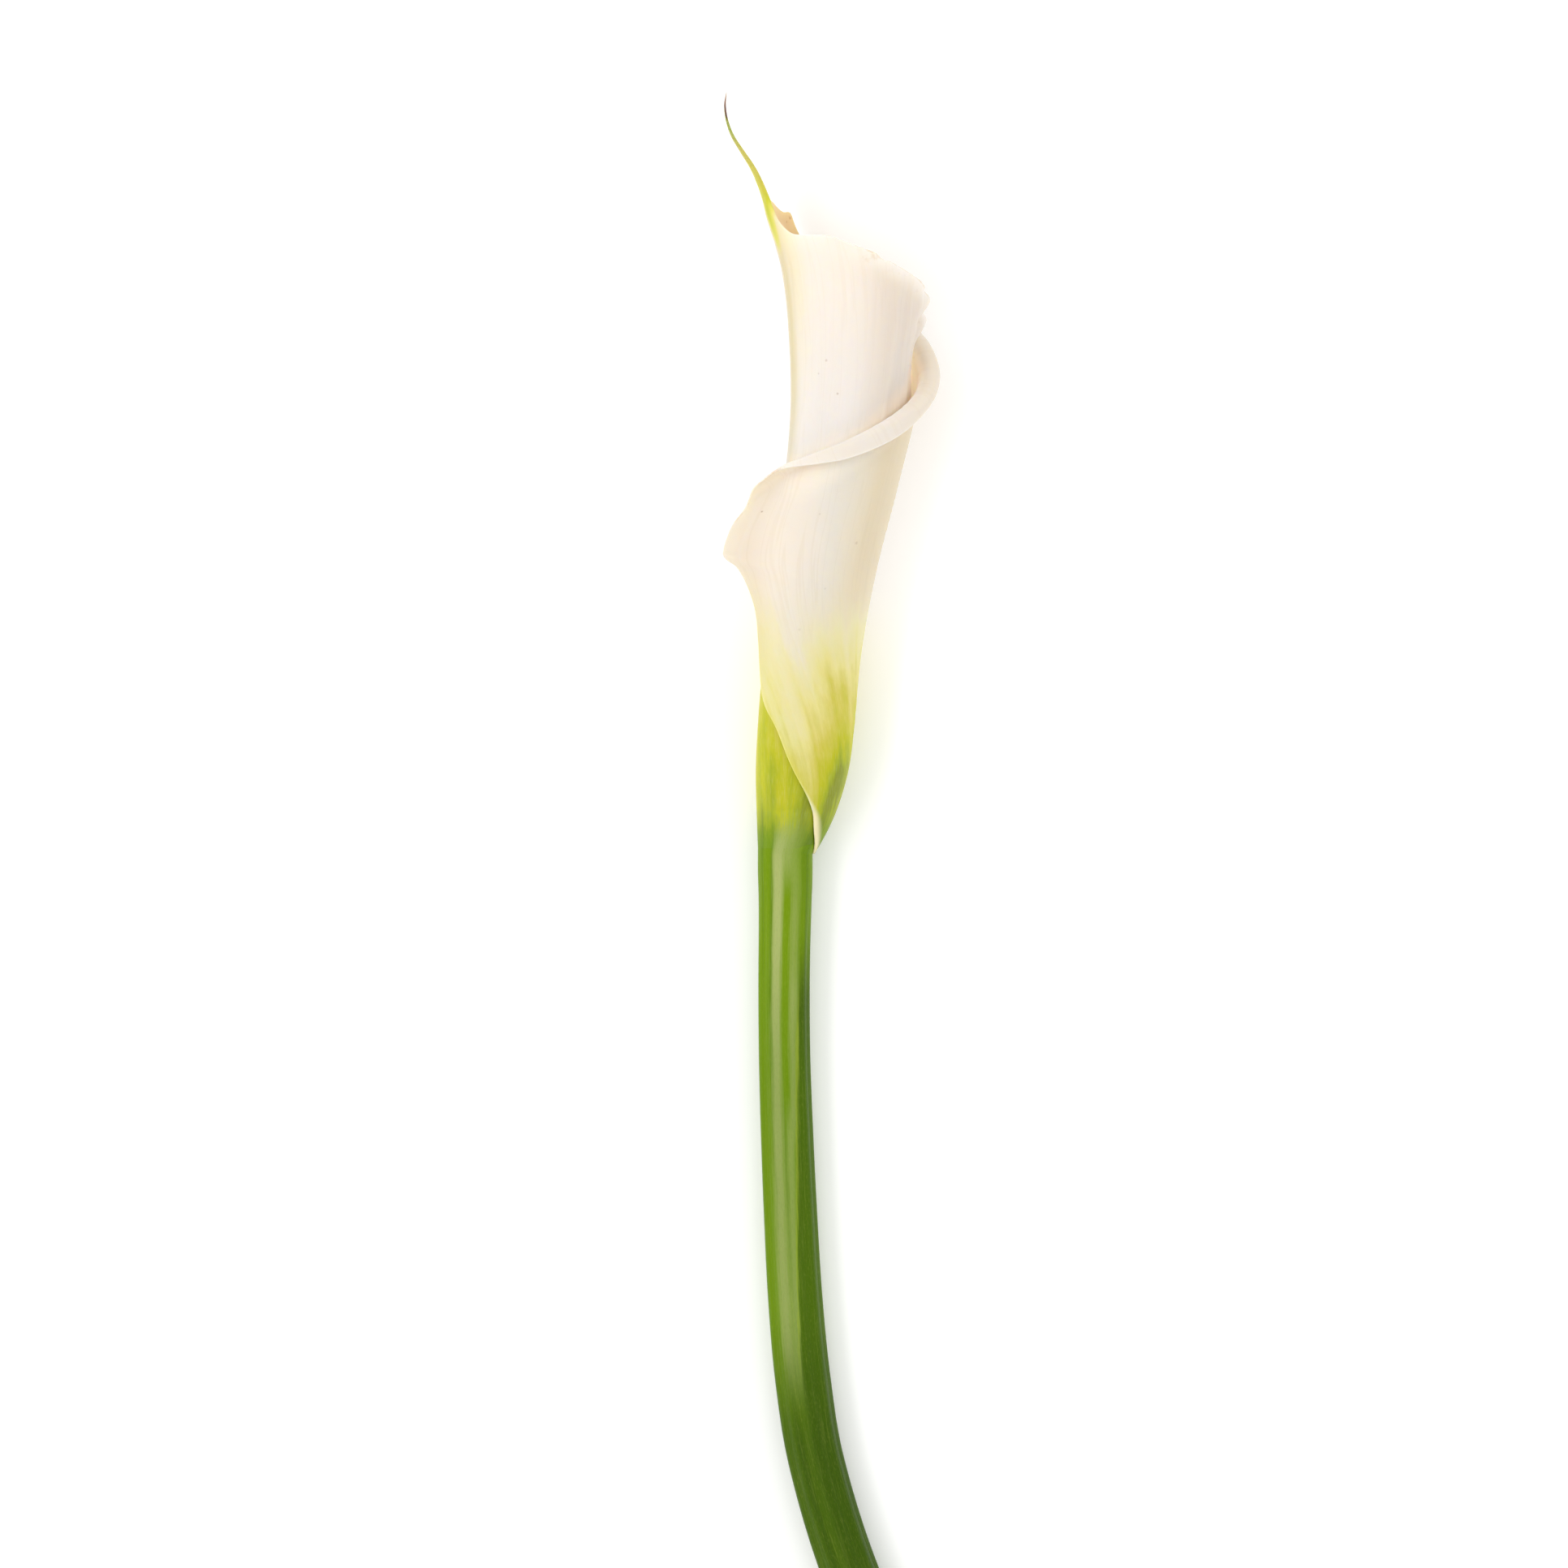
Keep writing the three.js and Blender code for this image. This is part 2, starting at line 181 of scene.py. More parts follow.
# Height of a row on the midrib, then how far the inner edge flares and how deep its crinkles are.
INNER_RIM = [
    (0, 0, 0),
    (64, 0, 0),
    (75, -0.4, 0),
    (82, 0.5, 0.1),
    (85, 2.3, 0.1),
    (87.5, 1.1, 0.1),
    (90, 2.4, 0.1),
    (93, 1.9, 0.2),
    (96, 1.7, 0.2),
    (104, 0.8, 0.2),
    (112, 0.2, 0.2),
    (118, 0, 0),
    (149.5, 0, 0),
]

# Height of a row on the midrib, then how far the outer edge flares, how many degrees its rim folds, how
# wide that fold is, and how much of it is the bend itself.
OUTER_RIM = [
    (0, -0.3, 0, 2.5, 2.5),
    (14, -0.2, 0, 2.5, 2.5),
    (19, 0.3, 0, 2.5, 2.5),
    (24, 1.4, 0, 2.5, 2.5),
    (29, 2.6, 0, 2.5, 2.5),
    (33, 4.6, 0, 2.5, 2.5),
    (36, 6.6, 0, 2.5, 2.5),
    (39, 9.4, 0, 2.5, 2.5),
    (42, 8.6, 10, 2.5, 2.5),
    (44, 6.8, 40, 2.5, 2.5),
    (46, 4.6, 80, 2.8, 2.8),
    (48, 2.9, 115, 3.2, 3.2),
    (51, 1.8, 145, 3.8, 3.6),
    (54, 1.1, 160, 4.2, 3.8),
    (58, 0.6, 172, 4.9, 3.8),
    (64, 0.3, 178, 5.7, 3.8),
    (73, 0.4, 175, 6.1, 3.9),
    (80, 0.3, 164, 5.9, 4.9),
    (86, 0.2, 148, 5.5, 5.2),
    (91, 0.2, 130, 5.2, 5.2),
    (95, 0.2, 108, 4.6, 4.6),
    (99, 0.3, 82, 3.9, 3.9),
    (103, 0.3, 50, 3.4, 3.4),
    (107, 0.4, 20, 3.0, 3.0),
    (114, 0, 0, 2.5, 2.5),
    (149.5, 0, 0, 2.5, 2.5),
]

# The stem's middle line: y, then x, z and radius.
STEM = [
    (-190, 32.5, 5.7, 5.8),
    (-165, 22.4, 5.7, 5.8),
    (-141, 12.2, 5.7, 5.7),
    (-120, 5.9, 5.6, 5.6),
    (-104, 3.3, 5.5, 5.6),
    (-88, 1.8, 5.4, 5.5),
    (-72, 0.9, 5.4, 5.4),
    (-56, 0.2, 5.5, 5.3),
    (-40, -0.3, 5.8, 5.2),
    (-24, -0.4, 6.3, 5.2),
    (-8, -0.1, 7.0, 5.3),
    (0, 0, 7.5, 5.5),
]

# ---- How far the green of the foot reaches ------------------------------------------------------------------

# Degrees round the roll from the midrib, then the heights where the blade is still ivory, lime and green.
GREEN_REACH = [
    (-233, 44, 26, 6),
    (-130, 50, 36, 0),
    (-60, 52, 40, -3),
    (0, 54, 42, -2),
    (90, 56, 36, 10),
    (160, 56, 40, 14),
    (195, 57, 37, 18),
    (235, 57, 34, 14),
    (250, 58, 31, 1),
    (265, 59, 29, -5),
    (290, 58, 22, -16),
    (335, 64, 22, -22),
    (370, 66, 24, -22),
]

# Degrees round the inner half, then the height where the lip of the outer half crosses it.
LIP_LINE = [
    (-230, 97),
    (-170, 94.5),
    (-150, 92),
    (-130, 88.5),
    (-108, 85),
    (-79, 80.5),
    (-30, 76.5),
    (0, 75),
]

# Long bands on the stem's upper side: place across the skin at the top and at the bottom, half width, softness
# of the sides, heights of the top and the bottom, how slowly the band fades there, strength and colour. The
# light bands are pale ribs with a painted highlight on them, the dark bands down the right side and the left
# edge and the shade bands down the right side and over the lower part are painted shade, and the lime bands are
# the edge of the widest rib.
STEM_BANDS = [
    (-1.45, -2.1, 1.0, 1.3, 12, -112, 16, 0.95, "light"),
    (0.1, 0.1, 1.9, 3.2, 14, -9, 9, 0.5, "light"),
    (2.2, 2.2, 0.7, 1.2, 4, -34, 16, 0.4, "light"),
    (2.25, 1.8, 0.75, 1.3, -18, -62, 12, 0.65, "light"),
    (1.1, -0.6, 0.85, 1.4, -46, -112, 12, 0.65, "light"),
    (7.8, 6.8, 3.0, 1.4, 2, -34, 25, 0.6, "dark"),
    (6.6, 5.2, 3.1, 0.7, -12, -74, 20, 0.95, "painted_shade"),
    (5.8, 2.6, 3.1, 0.7, -50, -114, 12, 0.95, "painted_shade"),
    (3.3, 3.3, 3.1, 0.7, -90, -260, 12, 0.9, "painted_shade"),
    (3.3, 1.9, 0.22, 0.3, -24, -74, 14, 0.6, "lime"),
    (2.5, -0.7, 0.22, 0.3, -54, -108, 14, 0.5, "lime"),
    (-6.4, -6.4, 1.4, 1.2, -36, -260, 30, 0.5, "dark"),
    (-2.2, -2.2, 0.7, 0.8, -106, -260, 14, 0.8, "painted_shade"),
]

# ---- Colours and marks that the real one carries ------------------------------------------------------------

# Places from the foot's top to the stem, and their colours, between the cream and the lime.
FOOT_STOPS = [
    (0.2, "#E7DAB0"),
    (0.4, "#E2D58E"),
    (0.6, "#CDC258"),
]

# Places from the tail's root to its tip, and their colours, between the yellow and the dry tip.
TAIL_STOPS = [
    (0.12, "#D2CE6A"),
    (0.27, "#BFC038"),
    (0.45, "#BEB850"),
    (0.66, "#B2AE60"),
    (0.78, "#8F9C58"),
    (0.83, "#868E50"),
    (0.85, "#574443"),
    (0.94, "#786462"),
]

# Degrees round the roll, height, radius in millimetres and strength of each dried patch on a rim.
DRIED = [
    (-90, 116.4, 2.6, 0.38),
    (-112, 113.4, 3.0, 0.4),
    (-94, 116.4, 1.3, 0.5),
    (-104, 115.0, 0.7, 0.48),
    (-110, 114.4, 0.6, 0.5),
    (-115, 113.4, 0.8, 0.46),
    (-120, 113.0, 0.5, 0.5),
    (-125, 112.1, 0.8, 0.45),
    (-146, 109.6, 2.0, 0.42),
    (-138, 110.8, 1.5, 0.42),
    (-157, 104.6, 1.0, 0.5),
    (62, 126.2, 0.6, 0.9),
    (57, 125.2, 0.5, 0.75),
    (66, 127.0, 0.5, 0.75),
]

# The same for small specks, on the outside of the blade.
SPECKS = [
    (265, 80.0, 0.2, 0.25),
    (298, 66.5, 0.18, 0.2),
    (-60, 90.0, 0.22, 0.35),
    (345, 67.0, 0.16, 0.6),
    (-48, 96.5, 0.25, 0.25),
    (-40, 94.0, 0.2, 0.2),
    (280, 52.0, 0.2, 0.15),
    (300, 44.0, 0.3, 0.12),
    (255, 61.0, 0.3, 0.2),
]

# ---- Small tools --------------------------------------------------------------------------------------------


def linear(hex_colour):
    """An sRGB hex colour as linear red, green, blue and alpha."""
    parts = [int(hex_colour[i : i + 2], 16) / 255 for i in (1, 3, 5)]
    return (*(c / 12.92 if c <= 0.04045 else ((c + 0.055) / 1.055) ** 2.4 for c in parts), 1.0)


def lerp(a, b, share):
    return a + (b - a) * share


def smooth(value, low, high):
    """0 below low, 1 above high and an even bend between. It also runs down, where high is the lower."""
    share = np.clip((value - low) / (high - low), 0, 1)
    return share * share * (3 - 2 * share)


def hump(distance, width):
    """1 in the middle, and an even fall to nothing over about twice the width."""
    return np.exp(-((distance / width) ** 2))


def unit(vectors):
    return vectors / np.maximum(np.linalg.norm(vectors, axis=-1, keepdims=True), 1e-12)


def through(rows):
    """A smooth curve through rows of (key, value, ...): gives the values at an array of keys."""
    table = np.array(rows, float)
    keys, values = table[:, 0], table[:, 1:]
    place_of = np.arange(len(keys))
    before, after = np.maximum(place_of - 1, 0), np.minimum(place_of + 1, len(keys) - 1)
    slopes = (values[after] - values[before]) / (keys[after] - keys[before])[:, None]

    def at(key):
        key = np.clip(np.asarray(key, float), keys[0], keys[-1])
        i = np.clip(np.searchsorted(keys, key) - 1, 0, len(keys) - 2)
        span = (keys[i + 1] - keys[i])[..., None]
        t = (key - keys[i])[..., None] / span
        from_a = (1 + 2 * t) * values[i] + t * span * slopes[i]
        from_b = (3 - 2 * t) * values[i + 1] - (1 - t) * span * slopes[i + 1]
        return np.moveaxis((1 - t) ** 2 * from_a + t**2 * from_b, -1, 0)

    return at


midrib = through(MIDRIB)
inner_edge, outer_edge = through(INNER_EDGE), through(OUTER_EDGE)
inner_rim, outer_rim = through(INNER_RIM), through(OUTER_RIM)
stem_line = through(STEM)
green_reach = through(GREEN_REACH)
lip_line = through([(turn, height, 0) for turn, height in LIP_LINE])


def place(points):
    """Points of the flower in millimetres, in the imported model's frame and metres."""
    return (points + FOOT_IN_MODEL) / 1000


def make_mesh(name, points, faces, materials, attributes=None, face_slots=None):
    """A smooth mesh object from points in millimetres, with named values on them. It rides on the flower."""
    mesh = bpy.data.meshes.new(name)
    mesh.from_pydata(place(points).tolist(), [], faces)
    for key, values in (attributes or {}).items():
        kind = "FLOAT_VECTOR" if np.ndim(values) == 2 else "FLOAT"
        field = "vector" if np.ndim(values) == 2 else "value"
        made = mesh.attributes.new(key, kind, "POINT")
        made.data.foreach_set(field, np.asarray(values, np.float32).ravel())
    for material in materials:
        mesh.materials.append(material)
    mesh.shade_smooth()
    if face_slots is not None:
        mesh.polygons.foreach_set("material_index", face_slots)
    mesh.update()
    piece = bpy.data.objects.new(name, mesh)
    bpy.context.scene.collection.objects.link(piece)
    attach(piece, "root")
    return piece


def grid_faces(rows, columns, closed=False):
    """Four-sided faces of a grid of points, row after row. If closed, each row's end joins its start."""
    i, j = np.meshgrid(np.arange(rows - 1), np.arange(columns if closed else columns - 1), indexing="ij")
    a = (i * columns + j).ravel()
    b = (i * columns + (j + 1) % columns).ravel()
    return np.stack([a, b, b + columns, a + columns], axis=1)


def add(tree, kind, inputs=(), stops=(), **settings):
    """Adds a shader node with its settings and links. Inputs are pairs of a name or number and a value, an
    output of another node, or the node itself, for its first output in use. Stops are a colour ramp's
    places and colours."""
    node = tree.nodes.new("ShaderNode" + kind)
    for name, value in settings.items():
        setattr(node, name, value)
    for name, value in inputs:
        if isinstance(value, bpy.types.Node):
            value = next(output for output in value.outputs if output.enabled)
        if isinstance(value, bpy.types.NodeSocket):
            tree.links.new(value, node.inputs[name])
        else:
            node.inputs[name].default_value = value
    for i, (position, colour) in enumerate(stops):
        ramp = node.color_ramp.elements
        stop = ramp[i] if i < 2 else ramp.new(position)
        stop.position, stop.color = position, colour
    return node


def new_material(name):
    """A material and its node tree, which is still empty."""
    material = bpy.data.materials.new(name)
    material.use_nodes = True
    material.node_tree.nodes.clear()
    return material, material.node_tree


# ---- The roll that the spathe follows -----------------------------------------------------------------------


def outward(turn):
    """Straight out from the roll's middle, at so many degrees round from the midrib."""
    angle = np.radians(MIDRIB_DEG + turn)
    return np.stack([np.cos(angle), np.zeros_like(angle), np.sin(angle)], axis=-1)


def ripples(turn, height, to_edge):
    """The soft folds along the blade, mostly high on the inner half, and the finer ridges over its veins.
    Each is two waves, with so many to a turn of the roll that they never line up."""
    high_inner = smooth(turn, -70, -115) * smooth(height, 58, 100)
    lean = turn + RIPPLE_LEAN * height
    folds = np.sin(np.radians(lean * 13)) + 0.6 * np.sin(np.radians(lean * 23 + 80))
    ridges = np.sin(np.radians(lean * 41)) + 0.7 * np.sin(np.radians(lean * 67 + 30))
    amount = smooth(height, 10, 30) * smooth(height, 125, 112)
    return (FOLD_DEPTH * folds * high_inner + RIDGE_DEPTH * ridges * smooth(to_edge, 1, 5)) * amount


def roll_middle(height):
    """The middle of the roll at a height, a radius in from the midrib."""
    x, z, radius = midrib(height)
    return np.stack([x, height, z], axis=-1) - outward(0.0) * radius[..., None]


def on_roll(turn, height, flare):
    """A point on the roll, which is a spiral that moves out as it turns."""
    hug = smooth(height, HUG_TOP, 0) * smooth(turn, 190, 90)
    pitch = BLADE_PITCH * lerp(1, FOOT_PITCH, hug)
    above_lip = height - lip_line(turn)[0]
    tuck = TUCK * smooth(turn, -100, -165) * smooth(above_lip, -5, 3) * smooth(height, 107, 98)
    press = PRESS * smooth(turn, -20, -70) * lerp(1, 0.1, smooth(turn, -125, -158))
    press = press * smooth(above_lip, 3.5, -1.5) * smooth(height, 40, 60)
    radius = midrib(height)[2] + pitch * turn / 360 + flare - tuck + press
    return roll_middle(height) + outward(turn) * radius[..., None]


# ---- Spathe -------------------------------------------------------------------------------------------------

ROW_STEP = 0.5
INNER_BODY_COLUMNS, OUTER_BODY_COLUMNS = 52, 78
INNER_RIM_COLUMNS, OUTER_RIM_COLUMNS = 10, 26
LEAST_HEIGHT = 0.45  # the blade's middle never comes closer to the floor
TAIL_THICKNESS = (1.15, 0.35)  # at its root and at its tip
VEIN_BEND = (36, 24)  # the height where the leaning veins start to bend upright, and over how much of it
# Painted light: how strongly the crease under the lip is painted lighter, on the outer and on the inner half.
CREASE_LIGHT = (0.7, 0.9)  # how strongly the crease under the lip shows on the outer and on the inner half

# Length, depth and start of each wave of the crinkled rim.
CRINKLES = [
    (9.5, 1.0, 0.6),
    (4.3, 0.5, 1.3),
    (2.3, 0.15, 4.0),
]

# The marks that the petal material reads on each point.
PETAL_MARKS = (
    "vein", "height", "turn", "green", "yellow", "tail", "browned", "pale", "inside", "wrap", "throat",
    "ear", "joint", "away", "lit",
)


def half_point(side, row, share, settings):
    """A point on one half of the spathe, by its row and its share of the way to the row's end."""
    turn, top = (outer_edge if side > 0 else inner_edge)(row)
    bend = np.maximum((share - FLARE_START) / (1 - FLARE_START), 0) ** 2
    if side > 0:
        flare = outer_rim(row)[0]
    else:
        flare, crinkle = inner_rim(row)
        flare = flare + crinkle * crinkles(row) * settings.crinkle
    return on_roll(side * turn * share, lerp(row, top, share), flare * bend)


def crinkles(row):
    """The uneven waves of the inner rim, where it dried."""
    return sum(depth * np.sin(2 * np.pi * row / length + start) for length, depth, start in CRINKLES)


def on_half(side, row, body, rim, settings):
    """Points of one column of a half: their place, distance to the edge, turn and height."""
    edge_turn, edge_top = (outer_edge if side > 0 else inner_edge)(row)
    flat = np.zeros_like(row)
    fold_deg, fold_width, bend = outer_rim(row)[1:] if side > 0 else (flat, flat + RIM, flat + RIM)
    folded = smooth(fold_deg, 0, 90)
    width = np.hypot(np.radians(edge_turn) * midrib(row)[2], edge_top - row)
    flat_rim = np.minimum(RIM / width, 0.6) * (1 - folded)
    start = half_point(side, row, 1 - flat_rim, settings)
    rim_width = np.linalg.norm(half_point(side, row, 1, settings) - start, axis=-1)
    rim_width = lerp(rim_width, fold_width, folded)
    share = body * (1 - flat_rim) + rim * flat_rim
    point = half_point(side, row, share, settings)
    if rim == 0:
        to_edge = (1 - flat_rim - share) * width + rim_width
    else:
        to_edge = (1 - rim) * rim_width

        # The fold: an arc that bends the rim out from the blade, then a straight piece.
        ahead = unit(half_point(side, row, 1.01, settings) - start)
        below, above = (half_point(side, row + step, 1 - flat_rim, settings) for step in (-1, 1))
        line = unit(above - below)
        out = unit(np.cross(line, ahead))
        along = unit(lerp(ahead, np.cross(out, line), folded[:, None]))
        bend = np.minimum(bend, rim_width)
        bend_radius = bend / np.radians(np.maximum(fold_deg, 1e-3))
        gone = rim * rim_width
        angle = np.minimum(gone, bend) / bend_radius
        straight = np.maximum(gone - bend, 0)
        forward = bend_radius * np.sin(angle) + straight * np.cos(angle)
        outward_by = bend_radius * (1 - np.cos(angle)) + straight * np.sin(angle)
        bent = start + along * forward[:, None] + out * outward_by[:, None]
        point = np.where(folded[:, None] > 0, bent, point)
    return point, to_edge, side * edge_turn * share, lerp(row, edge_top, share)


def rim_shares(count):
    """Shares of the rim's width, closer together near the edge, where the blade rounds off."""
    return 1 - (1 - np.arange(1, count + 1) / count) ** 1.5


def spathe_columns():
    """Side, share of the body and share of the rim of each column, from the inner edge to the outer one."""
    halves = []
    for side, body_columns, rim_columns in (
        (-1, INNER_BODY_COLUMNS, INNER_RIM_COLUMNS),
        (1, OUTER_BODY_COLUMNS, OUTER_RIM_COLUMNS),
    ):
        body = [(side, (j + 1) / body_columns, 0) for j in range(body_columns)]
        halves.append(body + [(side, 1, share) for share in rim_shares(rim_columns)])
    return [*reversed(halves[0]), (1, 0, 0), *halves[1]]


def blade_thickness(row, to_edge, to_midrib, settings):
    """Full along the middle, thinner in the last millimetres, rounded off at the very edge, and a round rib
    where the midrib becomes the tail."""
    rib = smooth(row, TAIL_ROOT - 20, TAIL_ROOT) * hump(to_midrib, 2)
    tail = lerp(*TAIL_THICKNESS, smooth(row, TAIL_ROOT, TAIL_TIP))
    tail = tail * np.sqrt(np.clip((TAIL_TIP + 0.2 - row) / 3, 0, 1))
    flat = lerp(settings.edge, settings.blade, smooth(to_edge, 0, 7))
    thickness = lerp(flat, tail, rib)
    beyond = np.clip(1 - to_edge / (thickness * 0.6), 0, 1)
    return thickness * np.sqrt(1 - beyond**2)


def spathe_marks(turn, height, row, to_edge, inside):
    """The petal material's marks on each point of one skin: most are shares, and inside is 1 for the skin
    that faces into the roll and 0 for the other."""
    marks = {"turn": turn, "height": height, "inside": np.full_like(turn, inside)}
    outer_half = turn > 0
    above_lip = height - lip_line(turn)[0]

    # Green is 0.5 where the blade is lime, 0.95 where it is olive, and a little more at the very foot.
    ivory, lime, olive = green_reach(turn)
    green = 0.5 * np.clip((ivory - height) / (ivory - lime), 0, 1) ** 1.4
    green = green + 0.45 * np.clip((lime - height) / (lime - olive), 0, 1)
    marks["green"] = green + 0.1 * smooth(height, 5, 0)

    # Veins lean round the roll in the foot, more so on the outer half, and bend upright above it.
    lean = lerp(0.5, 1.6, smooth(turn, -60, 120))
    bend_from, bend_over = VEIN_BEND
    above_foot = np.clip(height - bend_from, 0, bend_over)
    leaning = np.minimum(height, bend_from) + above_foot - above_foot**2 / (2 * bend_over)
    marks["vein"] = turn - lean * leaning - smooth(turn, 215, 335) * (leaning - 30)

    # Yellow runs up the midrib and beside it. The tail mark is 0 at the tail's root and 1 at its tip.
    on_midrib = hump(turn, 14) * smooth(height, 58, 100)
    beside_midrib = hump(turn + 12, 18) * smooth(height, 76, 122)
    marks["yellow"] = np.maximum(0.8 * on_midrib, 0.6 * beside_midrib)
    marks["tail"] = np.clip((row - TAIL_ROOT + 9) / (TAIL_TIP - TAIL_ROOT + 9), 0, 1) * hump(turn + 2, 7)

    # Brown is a thin line along the dried stretches of the rims, and the dried patches.
    inner_line = smooth(row, 72, 84) * smooth(row, 118, 110)
    outer_line = 0.8 * smooth(row, 112, 117) + 0.9 * smooth(row, 37, 42) * smooth(row, 58, 50)
    rim_line = np.where(turn < 0, inner_line, outer_line)
    browned = 0.5 * rim_line * smooth(to_edge, 1.2, 0.1) * (row < 124)
    for dried_turn, dried_height, radius, strength in DRIED:
        off_patch = np.hypot(np.radians(turn - dried_turn) * ROLL_RADIUS, height - dried_height)
        browned = np.maximum(browned, strength * hump(off_patch, radius))
    marks["browned"] = browned

    # Pale is the rim that runs down over the foot. The joint is where the stem's skin ends, on the outside.
    # The ear is beside the tail, and wrap is the back of the roll, round to the right: partly its warmer tone,
    # partly painted shade on the side that turns from the light.
    pale = smooth(to_edge, lerp(2.8, 0.7, smooth(height, 4, 12)), 0.2)
    marks["pale"] = pale * smooth(height, 15, 8) * outer_half
    marks["joint"] = smooth(height, 14, -3) * (1 - inside)
    marks["ear"] = smooth(turn, 6, 22) * smooth(turn, 105, 78) * smooth(height, 118, 123) * inside
    marks["wrap"] = smooth(turn, 120, 200) * lerp(0.9, 0.2, smooth(turn, 235, 300)) * (1 - inside)

    # Lit is the thin wall under the lip, where a painted glow stands in for daylight shining through it.
    lit = smooth(to_edge, 3, 8) * smooth(to_edge, 20, 12) * smooth(row, 76, 86) * smooth(row, 108, 98)
    marks["lit"] = lit * outer_half * inside

    # Painted light: the throat on the inside and the crease under the lip on the outside are painted lighter and
    # warmer, where shade falls. Away is painted shade, where the blade turns from the light: the lip on the
    # inside, and the blade's far sides on the outside.
    if inside:
        high = smooth(row, 80, 90)
        marks["throat"] = smooth(to_edge, lerp(4, 2.6, high), lerp(10, 5.2, high))
        lip = (0.4 * smooth(row, 48, 58) + 0.6 * smooth(row, 66, 88)) * smooth(row, 120, 112)
        marks["away"] = lip * smooth(to_edge, 4.6, 3) * outer_half
    else:
        beside_rim = smooth(to_edge, 4, 6.5) * smooth(to_edge, 12, 8)
        painted_crease_light = np.where(turn < 0, smooth(above_lip, 5, -1), beside_rim)
        painted_crease_light = painted_crease_light * smooth(row, 44, 56) * smooth(row, 108, 96)
        on_outer, on_inner = CREASE_LIGHT
        marks["throat"] = painted_crease_light * np.where(turn < 0, lerp(1, on_inner, smooth(turn, -110, -140)), on_outer)
        marks["away"] = np.maximum.reduce([
            0.9 * smooth(turn, -68, -118) * smooth(to_edge, 0, 5),
            0.9 * smooth(np.abs(turn - 14), 36, 12) * smooth(height, 70, 80),
            0.7 * smooth(turn, 325, 352) * smooth(height, 24, 42),
            0.35 * smooth(turn, 170, 200) * smooth(turn, 265, 238) * smooth(height, 45, 60),
        ])
    return marks


def spathe_mesh(settings):
    """The blade as two skins that share the points of their edges: its points, faces and marks, and how
    many of the faces are smooth."""
    rows = np.arange(0, TAIL_TIP + 0.01, ROW_STEP)
    columns = [on_half(side, rows, body, rim, settings) for side, body, rim in spathe_columns()]
    middle, to_edge, turn, height = (np.stack(values, axis=1) for values in zip(*columns))
    count, across = turn.shape
    size = count * across
    row = np.repeat(rows[:, None], across, axis=1)
    middle[..., 2] = np.maximum(middle[..., 2], LEAST_HEIGHT)
    inward = unit(np.cross(np.gradient(middle, axis=1), np.gradient(middle, axis=0)))
    middle = middle - inward * ripples(turn, height, to_edge)[..., None]
    to_midrib = np.radians(np.abs(turn)) * midrib(row)[2]
    depth = blade_thickness(row, to_edge, to_midrib, settings)[..., None] / 2
    inside, outside = middle + inward * depth, middle - inward * depth
    points = np.concatenate([inside.reshape(-1, 3), outside.reshape(-1, 3)])

    front = grid_faces(count, across)
    column = np.arange(size) % across
    under = np.arange(size) + np.where((column == 0) | (column == across - 1), 0, size)
    back = under[front[:, ::-1]]
    ends = []
    for j in range(across - 1):
        a = size - across + j
        ends.append((j, under[j], under[j + 1], j + 1))
        ends.append((a, a + 1, under[a + 1], under[a]))
    ends = [tuple(dict.fromkeys(face)) for face in ends]
    faces = [*map(tuple, front.tolist()), *map(tuple, back.tolist())]
    faces += [face for face in ends if len(face) > 2]

    skins = [spathe_marks(turn, height, row, to_edge, faces_in) for faces_in in (1.0, 0.0)]
    marks = {key: np.concatenate([skin[key].ravel() for skin in skins]) for key in PETAL_MARKS}
    rod = outward(turn) * SKIN_RADIUS
    rod[..., 1] = height
    marks["skin"] = np.tile(rod.reshape(-1, 3), (2, 1))
    return points, faces, marks, len(front) + len(back)


